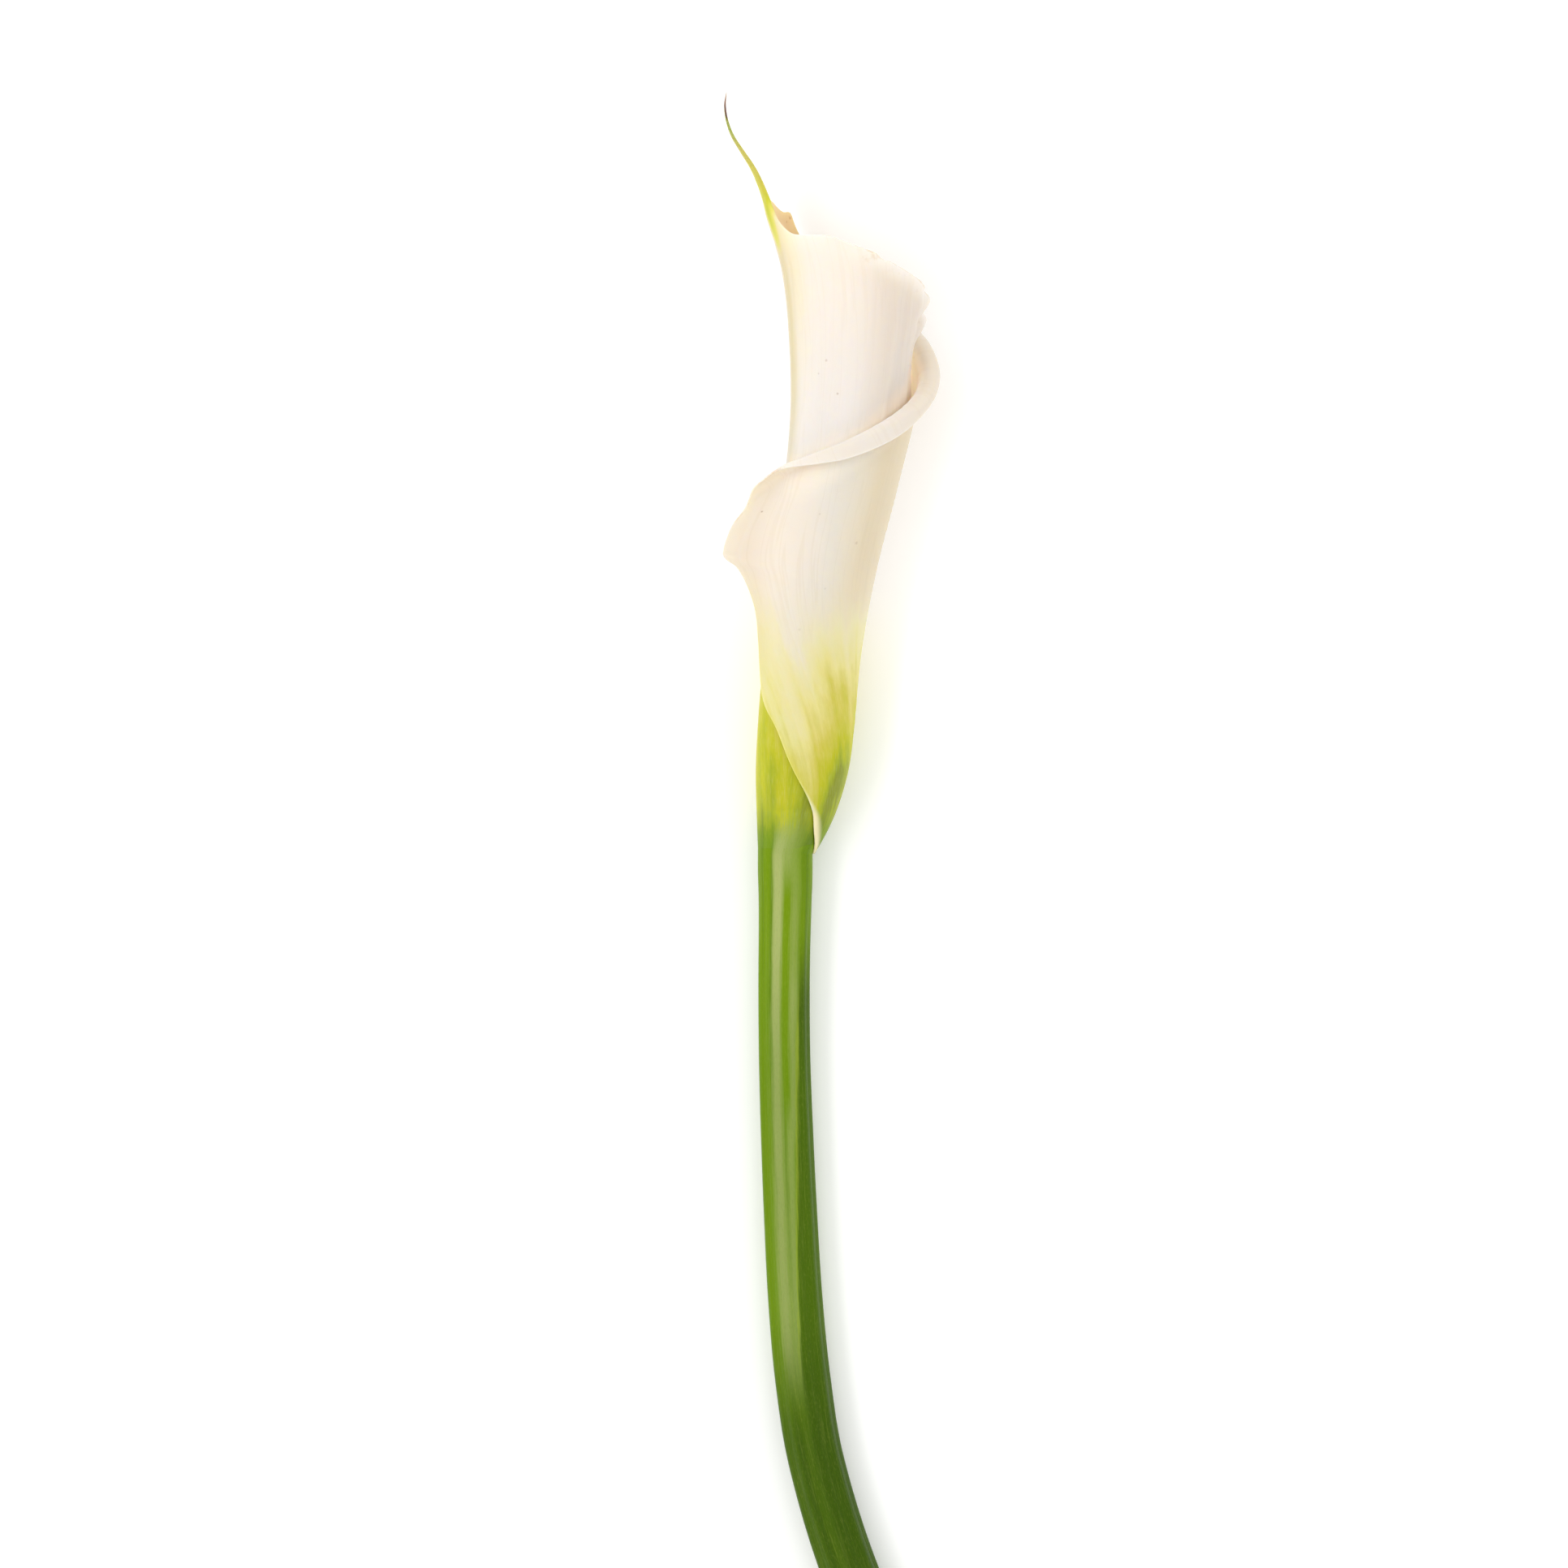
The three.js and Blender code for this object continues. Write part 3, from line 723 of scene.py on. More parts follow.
def stem_colour(tree, settings):
    """The stem's colour, which also runs up over the foot: dark and pale ribs with a painted highlight on the
    pale ones, painted shade down its edges and over its lower part, and fine fibres.
    """
    skin = add(tree, "Attribute", attribute_name="skin").outputs["Vector"]
    across, along, up = add(tree, "SeparateXYZ", [(0, skin)]).outputs

    # Bands about 2 mm wide and fibres of 0.2 mm, both fifty times as long, and dashes of 0.15 by 0.9 mm.
    patterns = []
    for stretch, scale, detail, roughness in (
        ((1.0, 0.02, 1.0), 0.45, 2.0, 0.5),
        ((1.0, 0.02, 1.0), 5.0, 3.0, 0.6),
        ((7.0, 1.1, 7.0), 1.0, 1.0, 0.5),
    ):
        stretched = add(tree, "VectorMath", [(0, skin), (1, stretch)], operation="MULTIPLY")
        patterns.append(add(tree, "TexNoise", [
            ("Vector", stretched), ("Scale", scale), ("Detail", detail), ("Roughness", roughness)]))
    bands, fibres, dashes = patterns

    # The place across the skin, which wanders to both sides of the true one so that no band is straight.
    wander = across
    for pattern, amount in ((bands, 1.6), (fibres, 1.4)):
        wander = add(tree, "Math", [(0, pattern), (1, amount), (2, wander)], operation="MULTIPLY_ADD")
    wander = add(tree, "Math", [(0, wander), (1, 1.5)], operation="SUBTRACT")

    # Layers are a pattern, where it starts to show and shows in full, how strongly, and in which colour.
    shares = []
    below_bands = [(bands, 0.5, 0.35, 0.7, "dark")]
    above_bands = [
        # darker from 12 mm down the stem, partly painted shade, and painted shade over its lower part from 88 mm
        # down
        (along, -12, -50, 0.4, "dark"),
        (along, -88, -118, 0.8, "painted_shade"),
        (fibres, 0.5, 0.75, 0.14, "fibre"),
        (dashes, 0.52, 0.75, 0.1, "fibre"),
        (dashes, 0.48, 0.25, 0.16, "dark"),
    ]
    for pattern, begin, full, strength, tone in below_bands + above_bands:
        share = add(tree, "MapRange", [
            ("Value", pattern), ("From Min", begin), ("From Max", full), ("To Max", strength)],
            interpolation_type="SMOOTHSTEP")
        shares.append((share, tone))
    band_shares = []
    for top_across, bottom_across, half_width, soft, top, bottom, fade, strength, tone in STEM_BANDS:
        middle = add(tree, "MapRange", [
            ("Value", along), ("From Min", top), ("From Max", bottom), ("To Min", top_across),
            ("To Max", bottom_across)])
        off_band = add(tree, "Math", [(0, wander), (1, middle)], operation="SUBTRACT")
        off_band = add(tree, "Math", [(0, off_band)], operation="ABSOLUTE")
        band = add(tree, "MapRange", [
            ("Value", off_band), ("From Min", half_width + soft / 2), ("From Max", half_width - soft / 2),
            ("To Max", strength)], interpolation_type="SMOOTHSTEP")
        for axis, begin, full in ((along, top, top - fade), (along, bottom, bottom + fade), (up, -3.0, 1.5)):
            share = add(tree, "MapRange", [
                ("Value", axis), ("From Min", begin), ("From Max", full)], interpolation_type="SMOOTHSTEP")
            band = add(tree, "Math", [(0, band), (1, share)], operation="MULTIPLY")
        band_shares.append((band, tone))
    colour = settings.green
    for share, tone in (shares[0], *band_shares, *shares[1:]):
        colour = add(tree, "Mix", [(0, share), (6, colour), (7, getattr(settings, tone))], data_type="RGBA")
    return colour


def petal_material(name, glow, settings, stem_settings):
    """Fresh calla petal: a thick, waxy white leaf whose cells scatter light, so it glows softly, with faint
    veins that run up from a green foot, and a rim that has started to dry and turn brown. The foot itself
    is denser green tissue, so less light wanders in it: glow is the share that does."""
    material, tree = new_material(name)
    value = {mark: add(tree, "Attribute", attribute_name=mark).outputs["Fac"] for mark in PETAL_MARKS}

    # The blade as a flat sheet, where one unit is a vein's spacing across and 55 mm along. On it lie
    # streaks one vein wide, broad ones over four veins, the foot's 10 mm mottling and its 2 mm strokes.
    across = add(tree, "Math", [(0, value["vein"]), (1, settings.vein_spacing)], operation="DIVIDE")
    along = add(tree, "Math", [(0, value["height"]), (1, STREAK_LENGTH)], operation="DIVIDE")
    sheet = add(tree, "CombineXYZ", [(0, across), (1, along), (2, value["inside"])])
    streak = add(tree, "TexNoise", [("Vector", sheet), ("Scale", 1.0), ("Detail", 2.0)])
    patterns = []
    for stretch, detail, roughness in (
        ((0.23, 0.8, 1.0), 3.0, 0.5),
        ((0.4, 5.5, 1.0), 4.0, 0.62),
        ((7.5, 24.0, 1.0), 2.0, 0.5),
    ):
        stretched = add(tree, "VectorMath", [(0, sheet), (1, stretch)], operation="MULTIPLY")
        patterns.append(add(tree, "TexNoise", [
            ("Vector", stretched), ("Scale", 1.0), ("Detail", detail), ("Roughness", roughness)]))
    broad, mottle, strokes = patterns
    streak_swing, broad_swing, mottle_swing = (
        add(tree, "Math", [(0, pattern), (1, 0.5)], operation="SUBTRACT")
        for pattern in (streak, broad, mottle))

    # Fine grain of the skin's cells, drawn 0.4 mm wide so that it shows, and the rim's drying of 6 mm.
    place_on = add(tree, "TexCoord").outputs["Object"]
    grain = add(tree, "TexNoise", [("Vector", place_on), ("Scale", 2600.0), ("Detail", 2.0)])
    drying = add(tree, "TexNoise", [
        ("Vector", place_on), ("Scale", 170.0), ("Detail", 5.0), ("Roughness", 0.7)])

    # Ivory turns to cream in broad streaks, and at the back of the roll, where the cream is partly painted
    # shade. A vein is a thin line where the streaks cross their middle value, and it fades towards the top.
    warm = add(tree, "Math", [(0, broad), (1, 0.3), (2, value["wrap"])],
               operation="MULTIPLY_ADD", use_clamp=True)
    off_line = add(tree, "Math", [(0, streak_swing)], operation="ABSOLUTE")
    lines = add(tree, "MapRange", [("Value", off_line), ("From Max", 0.03), ("To Min", 1.0), ("To Max", 0.0)],
                interpolation_type="SMOOTHSTEP")
    fading = add(tree, "MapRange", [
        ("Value", value["height"]), ("From Min", 88.0), ("From Max", 55.0),
        ("To Min", 0.08), ("To Max", 0.16)])
    veins = add(tree, "Math", [(0, lines), (1, fading)], operation="MULTIPLY")

    # The green of the foot climbs further along some veins than others, and pales in fine strokes. Its very
    # foot turns ragged into the stem's skin.
    change = broad_swing
    for swing, amount in ((streak_swing, 0.35), (mottle_swing, 0.5)):
        change = add(tree, "Math", [(0, swing), (1, amount), (2, change)], operation="MULTIPLY_ADD")
    room = add(tree, "Math", [(0, value["green"]), (1, 2.5)], operation="MULTIPLY", use_clamp=True)
    change = add(tree, "Math", [(0, change), (1, room)], operation="MULTIPLY")
    green = add(tree, "Math", [(0, change), (1, 0.75), (2, value["green"])], operation="MULTIPLY_ADD")
    foot = add(tree, "ValToRGB", [(0, green)], stops=[
        (0.0, settings.cream), (1.0, settings.stem_green), *((at, linear(tone)) for at, tone in FOOT_STOPS),
        (0.78, settings.lime), (0.9, settings.olive)])
    stroke_share = add(tree, "MapRange", [
        ("Value", strokes), ("From Min", 0.5), ("From Max", 0.75), ("To Max", 0.15)])
    ragged = add(tree, "Math", [(0, strokes), (1, 0.9), (2, value["joint"])], operation="MULTIPLY_ADD")
    joint_share = add(tree, "MapRange", [("Value", ragged), ("From Min", 0.6), ("From Max", 1.25)],
                      interpolation_type="SMOOTHSTEP")
    for share, tone in ((stroke_share, settings.stroke), (joint_share, stem_colour(tree, stem_settings))):
        foot = add(tree, "Mix", [(0, share), (6, foot), (7, tone)], data_type="RGBA")
    foot_share = add(tree, "MapRange", [("Value", green), ("From Min", 0.02), ("From Max", 0.25)],
                     interpolation_type="SMOOTHSTEP")
    layers = [
        # cream streaks, and partly painted shade at the back of the roll
        (warm, settings.cream, "MIX"),
        # painted light in the throat and in the crease under the lip
        (value["throat"], settings.throat, "MIX"),
        (value["ear"], settings.peach, "MIX"),
        (veins, settings.vein_colour, "MIX"),
        (value["yellow"], settings.yellow, "MIX"),
        (foot_share, foot, "MIX"),
        (value["pale"], settings.foot_rim, "MIX"),
        # painted shade where the blade turns from the light
        (value["away"], settings.away, "MULTIPLY"),
    ]

    # Specks: ragged dots, each at its own place on the roll, in millimetres round it and up.
    round_roll = add(tree, "Math", [(0, value["turn"]), (1, MM_PER_DEGREE)], operation="MULTIPLY")
    skin = add(tree, "CombineXYZ", [(0, round_roll), (1, value["height"])])
    uneven = add(tree, "TexNoise", [("Vector", skin), ("Scale", 1.6), ("Detail", 4.0), ("Roughness", 0.7)])
    for turn, height, radius, strength in SPECKS:
        off_speck = add(tree, "VectorMath", [(0, skin), (1, (turn * MM_PER_DEGREE, height, 0))],
                        operation="DISTANCE")
        ragged = add(tree, "Math", [(0, uneven), (1, radius), (2, off_speck)], operation="MULTIPLY_ADD")
        share = add(tree, "MapRange", [
            ("Value", ragged), ("From Min", 2.0 * radius), ("From Max", 0.8 * radius), ("To Max", strength)],
            interpolation_type="SMOOTHSTEP")
        layers.append((share, settings.speck, "MIX"))

    # The tail: lime at its root, then green, then dry and purple-brown at the tip.
    tail = add(tree, "ValToRGB", [(0, value["tail"])], stops=[
        (0.0, settings.yellow), (1.0, settings.dry_tip), *((at, linear(tone)) for at, tone in TAIL_STOPS)])
    tail_share = add(tree, "MapRange", [("Value", value["tail"]), ("From Max", 0.12)],
                     interpolation_type="SMOOTHSTEP")
    layers.append((tail_share, tail, "MIX"))

    # The dried rim: orange-brown, broken up into patches.
    dried = add(tree, "Math", [(0, drying), (1, value["browned"])])
    brown_share = add(tree, "MapRange", [("Value", dried), ("From Min", 0.88), ("From Max", 1.3)],
                      interpolation_type="SMOOTHSTEP")
    layers.append((brown_share, settings.rim_brown, "MIX"))
    body = settings.ivory
    for share, tone, blend in layers:
        body = add(tree, "Mix", [(0, share), (6, body), (7, tone)], data_type="RGBA", blend_type=blend)

    # A painted glow: the thin wall under the lip, on the side where the roll is one layer, emits light that
    # stands in for daylight shining through it.
    painted_glow = add(tree, "Math", [(0, value["lit"]), (1, settings.painted_wall_glow)], operation="MULTIPLY")
    rough = add(tree, "MapRange", [("Value", grain), ("To Min", 0.42), ("To Max", 0.58)])
    relief = add(tree, "Math", [(0, grain), (1, 0.12), (2, streak)], operation="MULTIPLY_ADD")
    bump = add(tree, "Bump", [("Strength", 0.25), ("Distance", 0.0004), ("Height", relief)])
    shader = add(tree, "BsdfPrincipled", [
        ("Base Color", body), ("Roughness", rough), ("Normal", bump), ("IOR", 1.42),
        ("Specular IOR Level", 0.2), ("Subsurface Weight", glow),
        ("Subsurface Radius", (1.0, 0.8, 0.5)), ("Subsurface Scale", 0.0018),
        ("Emission Color", settings.throat), ("Emission Strength", painted_glow)])
    add(tree, "OutputMaterial", [("Surface", shader)])
    return material


# ---- Spadix -------------------------------------------------------------------------------------------------

SPADIX_FOOT, SPADIX_TOP = 7.3, 62.0
SPADIX_RINGS, SPADIX_SIDES = 300, 120
SPADIX_RADIUS = 3.0  # at its foot
SPADIX_TAPER = 0.78  # the share of that radius left at its top
ROUND_FROM = 0.86  # share of the way up where its end starts to round off
FLORET_PLACE = 2.8  # the radius that the florets' spacing is worked out on
FLORET_WIDTH = 0.56  # a floret's radius, as a share of the spacing
FLORET_RISE = 0.11  # how far it stands out, as a share of the spadix's radius
CLOSE_SET = 0.87  # the share of a square that one floret takes up, as they are set in sixes round each other
GOLDEN_TURN = math.pi * (3 - math.sqrt(5))


def spadix_mesh(settings):
    """A tapered finger, closely set with florets in the spirals that a plant grows them in."""
    share = np.linspace(0, 1, SPADIX_RINGS)
    past_round = np.maximum(share - ROUND_FROM, 0) / (1.0 - ROUND_FROM)
    body = SPADIX_RADIUS * lerp(1, SPADIX_TAPER, share) * np.sqrt(np.maximum(1 - past_round**2, 0))
    angle = 2 * np.pi * np.arange(SPADIX_SIDES) / SPADIX_SIDES
    length = SPADIX_TOP - SPADIX_FOOT
    florets = int(2 * np.pi * FLORET_PLACE * length / (settings.floret**2 * CLOSE_SET))
    ring_height = share * length
    dome = np.zeros((SPADIX_RINGS, SPADIX_SIDES))
    for number in range(florets):
        floret_angle = (number * GOLDEN_TURN) % (2 * np.pi)
        floret_height = (number + 0.5) / florets * length
        near = np.abs(ring_height - floret_height) < settings.floret
        across = (np.remainder(angle - floret_angle + np.pi, 2 * np.pi) - np.pi) * FLORET_PLACE
        square = across[None, :] ** 2 + (ring_height[near, None] - floret_height) ** 2
        square = square / (settings.floret * FLORET_WIDTH) ** 2
        dome[near] = np.maximum(dome[near], np.sqrt(np.maximum(1 - square, 0)))
    radius = body[:, None] * (1 + FLORET_RISE * dome)
    round_it = np.stack([radius * np.cos(angle), np.zeros_like(radius), radius * np.sin(angle)], axis=-1)
    points = roll_middle(SPADIX_FOOT + ring_height)[:, None, :] + round_it
    faces = [*map(tuple, grid_faces(SPADIX_RINGS, SPADIX_SIDES, closed=True)[:, ::-1].tolist())]
    faces.append(tuple(range(SPADIX_SIDES)))
    faces.append(tuple(range((SPADIX_RINGS - 1) * SPADIX_SIDES, SPADIX_RINGS * SPADIX_SIDES))[::-1])
    return points.reshape(-1, 3), faces, {"dome": dome.ravel()}


def pollen_material(settings):
    """Ripe florets dusted with pollen: a dry, matt, deep yellow powder over small waxy domes. The powder is
    far finer than the 0.5 mm it is drawn at."""
    material, tree = new_material("pollen_dusted_florets")
    dome = add(tree, "Attribute", attribute_name="dome").outputs["Fac"]
    place_on = add(tree, "TexCoord").outputs["Object"]
    dust = add(tree, "TexNoise", [("Vector", place_on), ("Scale", 2200.0), ("Detail", 3.0)])
    # The gaps between the domes are darker: painted shade.
    colour = settings.gap_shade
    for share, tone in ((dome, settings.colour), (dust, settings.dust)):
        colour = add(tree, "Mix", [(0, share), (6, colour), (7, tone)], data_type="RGBA")
    bump = add(tree, "Bump", [("Strength", 0.4), ("Distance", 0.0002), ("Height", dust)])
    shader = add(tree, "BsdfPrincipled", [
        ("Base Color", colour), ("Normal", bump), ("Roughness", 0.85), ("Subsurface Weight", 0.15),
        ("Subsurface Radius", (1.0, 0.6, 0.2)), ("Subsurface Scale", 0.0006)])
    add(tree, "OutputMaterial", [("Surface", shader)])
    return material


# ---- Stem ---------------------------------------------------------------------------------------------------

STEM_RINGS, STEM_SIDES = 320, 180
STEM_RIBS = 9
NECK_FOOT, NECK_TOP = -2.0, 7.0  # between these the stem goes into the foot, in closer rings
NECK_STEP = 0.2
CUT_SLANT = math.tan(math.radians(30))
CUT_REACH = 9.0  # how far up the rings still lean with the cut

# How many fine ridges go round the stem, and where they start.
FIBRE_RIDGES = [
    (31, 0.4),
    (43, 2.0),
    (57, 4.4),
]

# Rings of the cut end, from the slightly raised skin to the middle: share of the radius and depth.
CUT_RINGS = [
    (0.965, 0.05),
    (0.93, -0.25),
    (0.8, -0.1),
    (0.65, -0.3),
    (0.5, -0.15),
    (0.35, -0.35),
    (0.2, -0.2),
    (0.08, -0.3),
]


def stem_point(y):
    """The middle of the stem at so far along it."""
    x, z, _ = stem_line(y)
    return np.stack([x, y, z], axis=-1)


def stem_mesh(settings, half_blade):
    """The stalk with its blunt ribs and fine ridges, a slanted cut, and a top that closes inside the foot."""
    neck = np.arange(NECK_FOOT + NECK_STEP, NECK_TOP, NECK_STEP)
    y = np.concatenate([np.linspace(STEM_END, NECK_FOOT, STEM_RINGS), neck])
    on_line = np.minimum(y, 0)
    along = unit(stem_point(np.minimum(on_line + 1, 0)) - stem_point(on_line - 1))
    along = unit(lerp(along, np.array([0.0, 1.0, 0.0]), smooth(y, -12, -1)[:, None]))
    right = unit(np.cross(along, [0.0, 0.0, 1.0]))
    up = unit(np.cross(right, along))
    angle = 2 * np.pi * np.arange(STEM_SIDES) / STEM_SIDES
    ribs = settings.rib_depth * smooth(-y, 2, 24)[:, None] * (1 - np.cos(STEM_RIBS * angle))[None, :]
    fibres = sum(np.sin(count * angle + start)[None, :] for count, start in FIBRE_RIDGES) / len(FIBRE_RIDGES)

    # At the foot the skin runs on over the blade's first millimetre, then dips under it and closes inside.
    in_foot = np.maximum(y, 0)
    foot_radius = midrib(in_foot)[2] + half_blade
    proud = lerp(0.05, -0.05, smooth(y, 0, 2)) - (2 * half_blade + 0.05) * smooth(y, 1.6, 3)
    round_top = np.sqrt(np.clip(1 - (np.maximum(y - NECK_TOP + 2, 0) / 2) ** 2, 0.01, 1))
    smooth_radius = lerp(stem_line(on_line)[2], foot_radius + proud, smooth(y, -10, 0)) * round_top
    radius = smooth_radius[:, None] - ribs + settings.fibre_depth * fibres * smooth(-y, -1, 6)[:, None]
    to_roll = (roll_middle(0.0) - stem_point(0.0)) * smooth(y, -8, 0)[:, None]
    middle = np.where(y[:, None] < 0, stem_point(on_line) + to_roll, roll_middle(in_foot))
    points = middle[:, None, :] + right[:, None, :] * (radius * np.cos(angle))[..., None]
    points = points + up[:, None, :] * (radius * np.sin(angle))[..., None]

    # The cut is a slant that the last rings lean with. The underside lies flat on the floor.
    lift = points[..., 2] - middle[:, None, 2]
    slope = CUT_SLANT * np.clip(1 - (y - STEM_END) / CUT_REACH, 0, 1)[:, None]
    points = points + along[:, None, :] * (lift * slope)[..., None]
    points[..., 2] = np.maximum(points[..., 2], 0)
    rod = np.broadcast_arrays(SKIN_RADIUS * np.cos(angle), y[:, None], SKIN_RADIUS * np.sin(angle))
    skin = np.stack(rod, axis=-1)
    faces = [*map(tuple, grid_faces(len(y), STEM_SIDES, closed=True)[:, ::-1].tolist())]
    slots = [0] * len(faces) + [1] * (len(CUT_RINGS) * STEM_SIDES + 1) + [0]

    # The cut's rough, soft inside.
    edge, centre = points[0], points[0].mean(axis=0)
    all_points, all_skin = [points.reshape(-1, 3)], [skin.reshape(-1, 3)]
    previous, start = 0, len(y) * STEM_SIDES
    for share, depth in CUT_RINGS:
        rough = 0.08 * np.sin(7 * angle + 9 * share) * np.sin(3 * angle)
        all_points.append(centre + (edge - centre) * share + along[0] * (rough - depth)[:, None])
        all_skin.append(skin[0] * share)
        for j in range(STEM_SIDES):
            k = (j + 1) % STEM_SIDES
            faces.append((previous + j, previous + k, start + k, start + j))
        previous, start = start, start + STEM_SIDES
    faces.append(tuple(range(previous, previous + STEM_SIDES)))
    top = (len(y) - 1) * STEM_SIDES
    faces.append(tuple(range(top, top + STEM_SIDES))[::-1])
    return np.concatenate(all_points), faces, {"skin": np.concatenate(all_skin)}, slots


def stem_skin_material(settings):
    """Calla stem: a fleshy stalk under a thin waxy skin, with long pale and dark fibres, which are 0.2 mm wide
    in the relief too. The shader's own shine is faint: its soft shine is mostly a painted highlight in its
    colour."""
    material, tree = new_material("waxy_stem_skin")
    skin = add(tree, "Attribute", attribute_name="skin").outputs["Vector"]
    stretched = add(tree, "VectorMath", [(0, skin), (1, (5.0, 0.1, 5.0))], operation="MULTIPLY")
    fibres = add(tree, "TexNoise", [("Vector", stretched), ("Scale", 1.0), ("Detail", 3.0)])
    bump = add(tree, "Bump", [("Strength", 0.35), ("Distance", 0.0003), ("Height", fibres)])
    shader = add(tree, "BsdfPrincipled", [
        ("Base Color", stem_colour(tree, settings)), ("Normal", bump), ("Roughness", 0.36), ("IOR", 1.45),
        ("Specular IOR Level", 0.06), ("Subsurface Weight", 0.12), ("Subsurface Radius", (0.5, 1.0, 0.2)),
        ("Subsurface Scale", 0.001)])
    add(tree, "OutputMaterial", [("Surface", shader)])
    return material


def cut_flesh_material(settings):
    """Freshly cut stem: wet, pale, spongy flesh, with the darker dots of its vessels about 0.8 mm apart."""
    material, tree = new_material("wet_cut_stem_flesh")
    skin = add(tree, "Attribute", attribute_name="skin").outputs["Vector"]
    flat = add(tree, "VectorMath", [(0, skin), (1, (1.0, 0.0, 1.0))], operation="MULTIPLY")
    dots = add(tree, "TexVoronoi", [("Vector", flat), ("Scale", 1.3)])
    off_dots = add(tree, "MapRange", [("Value", dots), ("From Min", 0.1), ("From Max", 0.3)],
                   interpolation_type="SMOOTHSTEP")
    sponge = add(tree, "TexNoise", [("Vector", flat), ("Scale", 3.0), ("Detail", 4.0)])
    colour = settings.vessel
    for share in (off_dots, sponge):
        colour = add(tree, "Mix", [(0, share), (6, colour), (7, settings.flesh)], data_type="RGBA")
    bump = add(tree, "Bump", [("Strength", 0.5), ("Distance", 0.0003), ("Height", sponge)])
    shader = add(tree, "BsdfPrincipled", [
        ("Base Color", colour), ("Normal", bump), ("Roughness", 0.3), ("Subsurface Weight", 0.3),
        ("Subsurface Radius", (0.8, 1.0, 0.5)), ("Subsurface Scale", 0.0015)])
    add(tree, "OutputMaterial", [("Surface", shader)])
    return material


# ---- What a user would change -------------------------------------------------------------------------------


def colour_setting(name, description, hex_colour):
    return bpy.props.FloatVectorProperty(
        name=name, description=description, subtype="COLOR", size=4, min=0, max=1, default=linear(hex_colour))


def number_setting(name, description, default, least=0, **more):
    return bpy.props.FloatProperty(name=name, description=description, default=default, min=least, **more)


class SpatheSettings(bpy.types.PropertyGroup):
    """The sizes and colours of the spathe."""

    blade: number_setting("Blade", "Thickness of the blade in millimetres", 0.75, 0.5, max=0.9)
    edge: number_setting("Edge", "Thickness of the blade near its edge in millimetres", 0.42, 0.2)
    crinkle: number_setting("Crinkle", "How deep the inner rim's waves are, 1 being as grown", 1.0)
    vein_spacing: number_setting("Vein spacing", "Degrees round the roll from one vein to the next", 9.0, 1)
    ivory: colour_setting("Ivory", "Most of the blade", "#E6E0DD")
    cream: colour_setting("Cream", "Its warmer streaks", "#E3D2B7")
    # Painted shade, multiplied over the blade's colours where it turns from the light.
    away: colour_setting("Turned away", "The tint of the blade's far sides, on top of its colours", "#EDEBE6")
    vein_colour: colour_setting("Vein", "The faint veins", "#CFC0A4")
    yellow: colour_setting("Yellow", "Beside the midrib, up to the tail", "#DACF9F")
    # Painted light: the colour painted into the throat and the crease under the lip, lighter than the shade
    # there, and the colour of the painted glow under the lip.
    throat: colour_setting("Throat", "Deep inside the roll, and the daylight through its wall", "#FFECDA")
    # Strength of the painted glow: the wall under the lip emits light of its own.
    painted_wall_glow: number_setting("Wall light", "Light that shines through the wall under the lip", 0.2)
    lime: colour_setting("Lime", "The upper part of the foot", "#B9B91E")
    olive: colour_setting("Olive", "The lower part of the foot", "#A0AA22")
    stem_green: colour_setting("Foot green", "Where the foot meets the stem", "#869026")
    stroke: colour_setting("Strokes", "Fine pale strokes in the foot", "#E6E3A4")
    foot_rim: colour_setting("Foot rim", "The rim that runs down over the foot", "#EDE0B2")
    dry_tip: colour_setting("Dry tip", "The end of the tail", "#8E7A7A")
    peach: colour_setting("Ear", "Inside the little ear beside the tail", "#D8C09A")
    speck: colour_setting("Speck", "Small specks on the blade", "#8A6A4C")
    rim_brown: colour_setting("Rim brown", "Where the rim has dried", "#B3906A")


class SpadixSettings(bpy.types.PropertyGroup):
    """The sizes and colours of the spadix."""

    floret: number_setting("Floret", "Distance between florets in millimetres", 1.05, 0.5)
    colour: colour_setting("Florets", "The florets", "#E8B923")
    # Painted shade: the gaps between the florets are painted darker.
    gap_shade: colour_setting("Gaps", "Between the florets", "#A9741A")
    dust: colour_setting("Pollen", "The pollen on them", "#F3D565")


class StemSettings(bpy.types.PropertyGroup):
    """The sizes and colours of the stem."""

    rib_depth: number_setting("Rib depth", "Depth of the blunt ribs in millimetres", 0.16)
    fibre_depth: number_setting("Fibre depth", "Height of the fine ridges in millimetres", 0.03)
    green: colour_setting("Green", "Most of the stem", "#6F8E08")
    # Dark: random darker streaks and dashes, and painted shade down the stem's edges and towards its cut end.
    dark: colour_setting("Dark", "Its darker bands", "#567608")
    # Light: pale ribs with a painted highlight on them.
    light: colour_setting("Light", "Its paler bands", "#A6B06B")
    fibre: colour_setting("Fibres", "The thin pale fibres", "#A2B04E")
    lime: colour_setting("Lime", "The edge of its widest rib", "#A9B83A")
    # Painted shade over the stem's right side and its lower part.
    painted_shade: colour_setting("Shade", "The dark furrows of its lower part", "#334D05")
    flesh: colour_setting("Flesh", "The cut end", "#D9E0B4")
    vessel: colour_setting("Vessels", "The dots in the cut end", "#9DB06A")


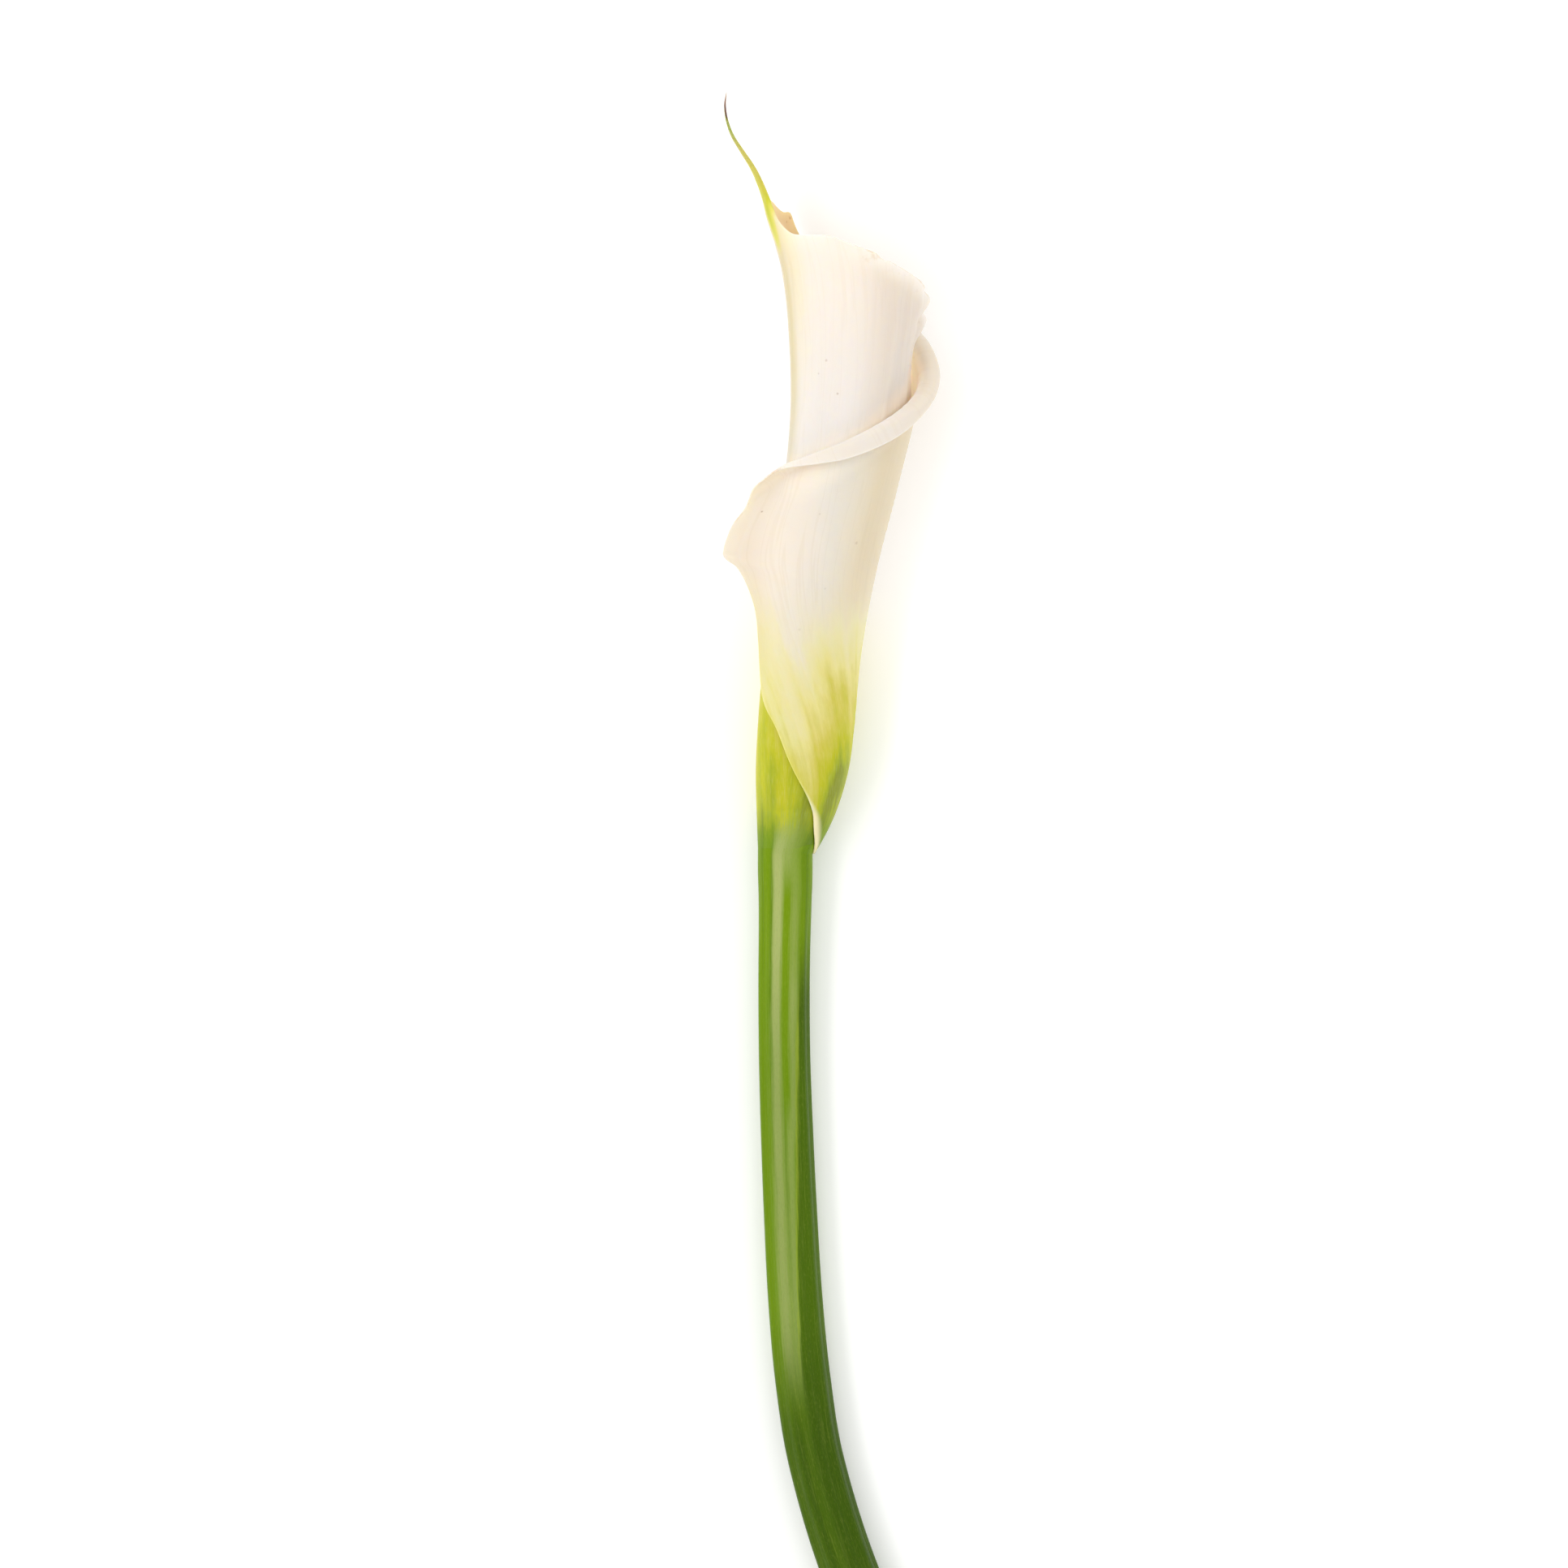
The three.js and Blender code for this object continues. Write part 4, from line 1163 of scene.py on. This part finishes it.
class StageSettings(bpy.types.PropertyGroup):
    """The floor, the lamps and the camera."""

    floor: colour_setting("Floor", "A matt white panel, lit a little from behind", "#FCFCFB")
    floor_glow: number_setting("Floor glow", "Light that comes through the panel", 0.1)
    camera_height: number_setting("Camera height", "Camera above the floor", 1.3, 0.5, unit="LENGTH")
    lens: number_setting("Lens", "Focal length in millimetres", 150, 20)
    key: number_setting("Key", "Left softbox", 6.2, unit="POWER")
    fill: number_setting("Fill", "Right softbox", 1.5, unit="POWER")
    sky: number_setting("Sky", "Light from all round", 1.0)


# ---- Operators ----------------------------------------------------------------------------------------------


class FLOWER_OT_spathe(bpy.types.Operator):
    """Make the rolled white spathe with its tail"""

    bl_idname = "flower.spathe"
    bl_label = "Spathe"

    def execute(self, context):
        settings, stem_settings = context.scene.flower_spathe, context.scene.flower_stem
        points, faces, marks, smooth_faces = spathe_mesh(settings)
        materials = [petal_material("fresh_calla_petal", 0.9, settings, stem_settings),
                     petal_material("green_calla_foot", 0.12, settings, stem_settings)]
        slots = [int(max(marks["height"][list(face)]) < DENSE_TOP) for face in faces]
        piece = make_mesh("spathe_skin", points, faces, materials, marks, slots)
        piece.data.polygons.foreach_set("use_smooth", np.arange(len(faces)) < smooth_faces)
        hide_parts("spathe")
        return {"FINISHED"}


class FLOWER_OT_spadix(bpy.types.Operator):
    """Make the yellow spadix inside the spathe"""

    bl_idname = "flower.spadix"
    bl_label = "Spadix"

    def execute(self, context):
        settings = context.scene.flower_spadix
        points, faces, marks = spadix_mesh(settings)
        piece = make_mesh("spadix_florets", points, faces, [pollen_material(settings)], marks)
        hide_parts("spadix")
        return {"FINISHED"}


class FLOWER_OT_stem(bpy.types.Operator):
    """Make the green stem with its cut end"""

    bl_idname = "flower.stem"
    bl_label = "Stem"

    def execute(self, context):
        settings = context.scene.flower_stem
        points, faces, marks, slots = stem_mesh(settings, context.scene.flower_spathe.blade / 2)
        materials = [stem_skin_material(settings), cut_flesh_material(settings)]
        piece = make_mesh("stem_skin", points, faces, materials, marks, slots)
        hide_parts("stem")
        return {"FINISHED"}


# Metres, as everything on the stage.
FLOOR_SIZE = 4.0
LAMP_SIZE, LAMP_AWAY = (0.35, 1.8), 1.6
LAMP_LEANS = (("key", -32), ("fill", 58))  # degrees from straight above, to the left and to the right
VIEW_CENTRE = (-0.32, 13.76)  # the point of the flower's own frame, in millimetres, that the camera is above


class FLOWER_OT_stage(bpy.types.Operator):
    """Make the floor, the lamps and the camera that looks straight down"""

    bl_idname = "flower.stage"
    bl_label = "Stage"

    def execute(self, context):
        scene = context.scene
        settings = scene.flower_stage
        half = FLOOR_SIZE / 2
        corners = [(-half, -half, 0), (half, -half, 0), (half, half, 0), (-half, half, 0)]
        mesh = bpy.data.meshes.new("floor")
        mesh.from_pydata(corners, [], [(0, 1, 2, 3)])
        floor = bpy.data.objects.new("floor", mesh)
        scene.collection.objects.link(floor)

        # A matt acrylic panel: it has next to no shine and a faint light of its own.
        material, tree = new_material("backlit_matt_white_panel")
        shader = add(tree, "BsdfPrincipled", [
            ("Base Color", settings.floor), ("Roughness", 0.9), ("Specular IOR Level", 0.1),
            ("Emission Color", settings.floor), ("Emission Strength", settings.floor_glow)])
        add(tree, "OutputMaterial", [("Surface", shader)])
        mesh.materials.append(material)

        x, y, _ = place(np.array([*VIEW_CENTRE, 0.0]))
        for name, lean in LAMP_LEANS:
            lamp = bpy.data.lights.new(name, "AREA")
            lamp.shape, lamp.energy = "RECTANGLE", getattr(settings, name)
            lamp.size, lamp.size_y = LAMP_SIZE
            box = bpy.data.objects.new(name, lamp)
            tilt = math.radians(lean)
            box.location = (x + LAMP_AWAY * math.sin(tilt), y + 0.1, LAMP_AWAY * math.cos(tilt))
            box.rotation_euler = (0, tilt, 0)
            box.visible_camera = False
            scene.collection.objects.link(box)

        scene.world = bpy.data.worlds.new("sky")
        scene.world.use_nodes = True
        sky = scene.world.node_tree.nodes["Background"]
        sky.inputs["Color"].default_value = (1, 1, 1, 1)
        sky.inputs["Strength"].default_value = settings.sky

        camera = bpy.data.objects.new("camera", bpy.data.cameras.new("camera"))
        camera.data.lens, camera.data.sensor_width = settings.lens, 36
        camera.data.clip_start, camera.data.clip_end = 0.05, 20
        camera.location = (x, y, settings.camera_height)
        scene.collection.objects.link(camera)
        scene.camera = camera
        scene.view_settings.view_transform = "Standard"
        return {"FINISHED"}


class FLOWER_PT_panel(bpy.types.Panel):
    """Lists the flower's pieces and their settings"""

    bl_idname = "FLOWER_PT_panel"
    bl_label = "Calla Lily"
    bl_space_type = "VIEW_3D"
    bl_region_type = "UI"
    bl_category = "Flower"

    def draw(self, context):
        for piece in ("spathe", "spadix", "stem", "stage"):
            box = self.layout.box()
            box.operator("flower." + piece)
            settings = getattr(context.scene, "flower_" + piece)
            for name in settings.__annotations__:
                box.prop(settings, name)


SETTINGS = {
    "flower_spathe": SpatheSettings,
    "flower_spadix": SpadixSettings,
    "flower_stem": StemSettings,
    "flower_stage": StageSettings,
}
OPERATORS = (FLOWER_OT_spathe, FLOWER_OT_spadix, FLOWER_OT_stem, FLOWER_OT_stage)


def register():
    for kind in (*SETTINGS.values(), *OPERATORS, FLOWER_PT_panel):
        bpy.utils.register_class(kind)
    for name, kind in SETTINGS.items():
        setattr(bpy.types.Scene, name, bpy.props.PointerProperty(type=kind))


def unregister():
    for name in SETTINGS:
        delattr(bpy.types.Scene, name)
    for kind in (FLOWER_PT_panel, *reversed(OPERATORS), *SETTINGS.values()):
        bpy.utils.unregister_class(kind)


def main():
    register()
    bpy.ops.flower.stage()
    bpy.ops.flower.stem()
    bpy.ops.flower.spadix()
    bpy.ops.flower.spathe()


if __name__ == "__main__":
    main()
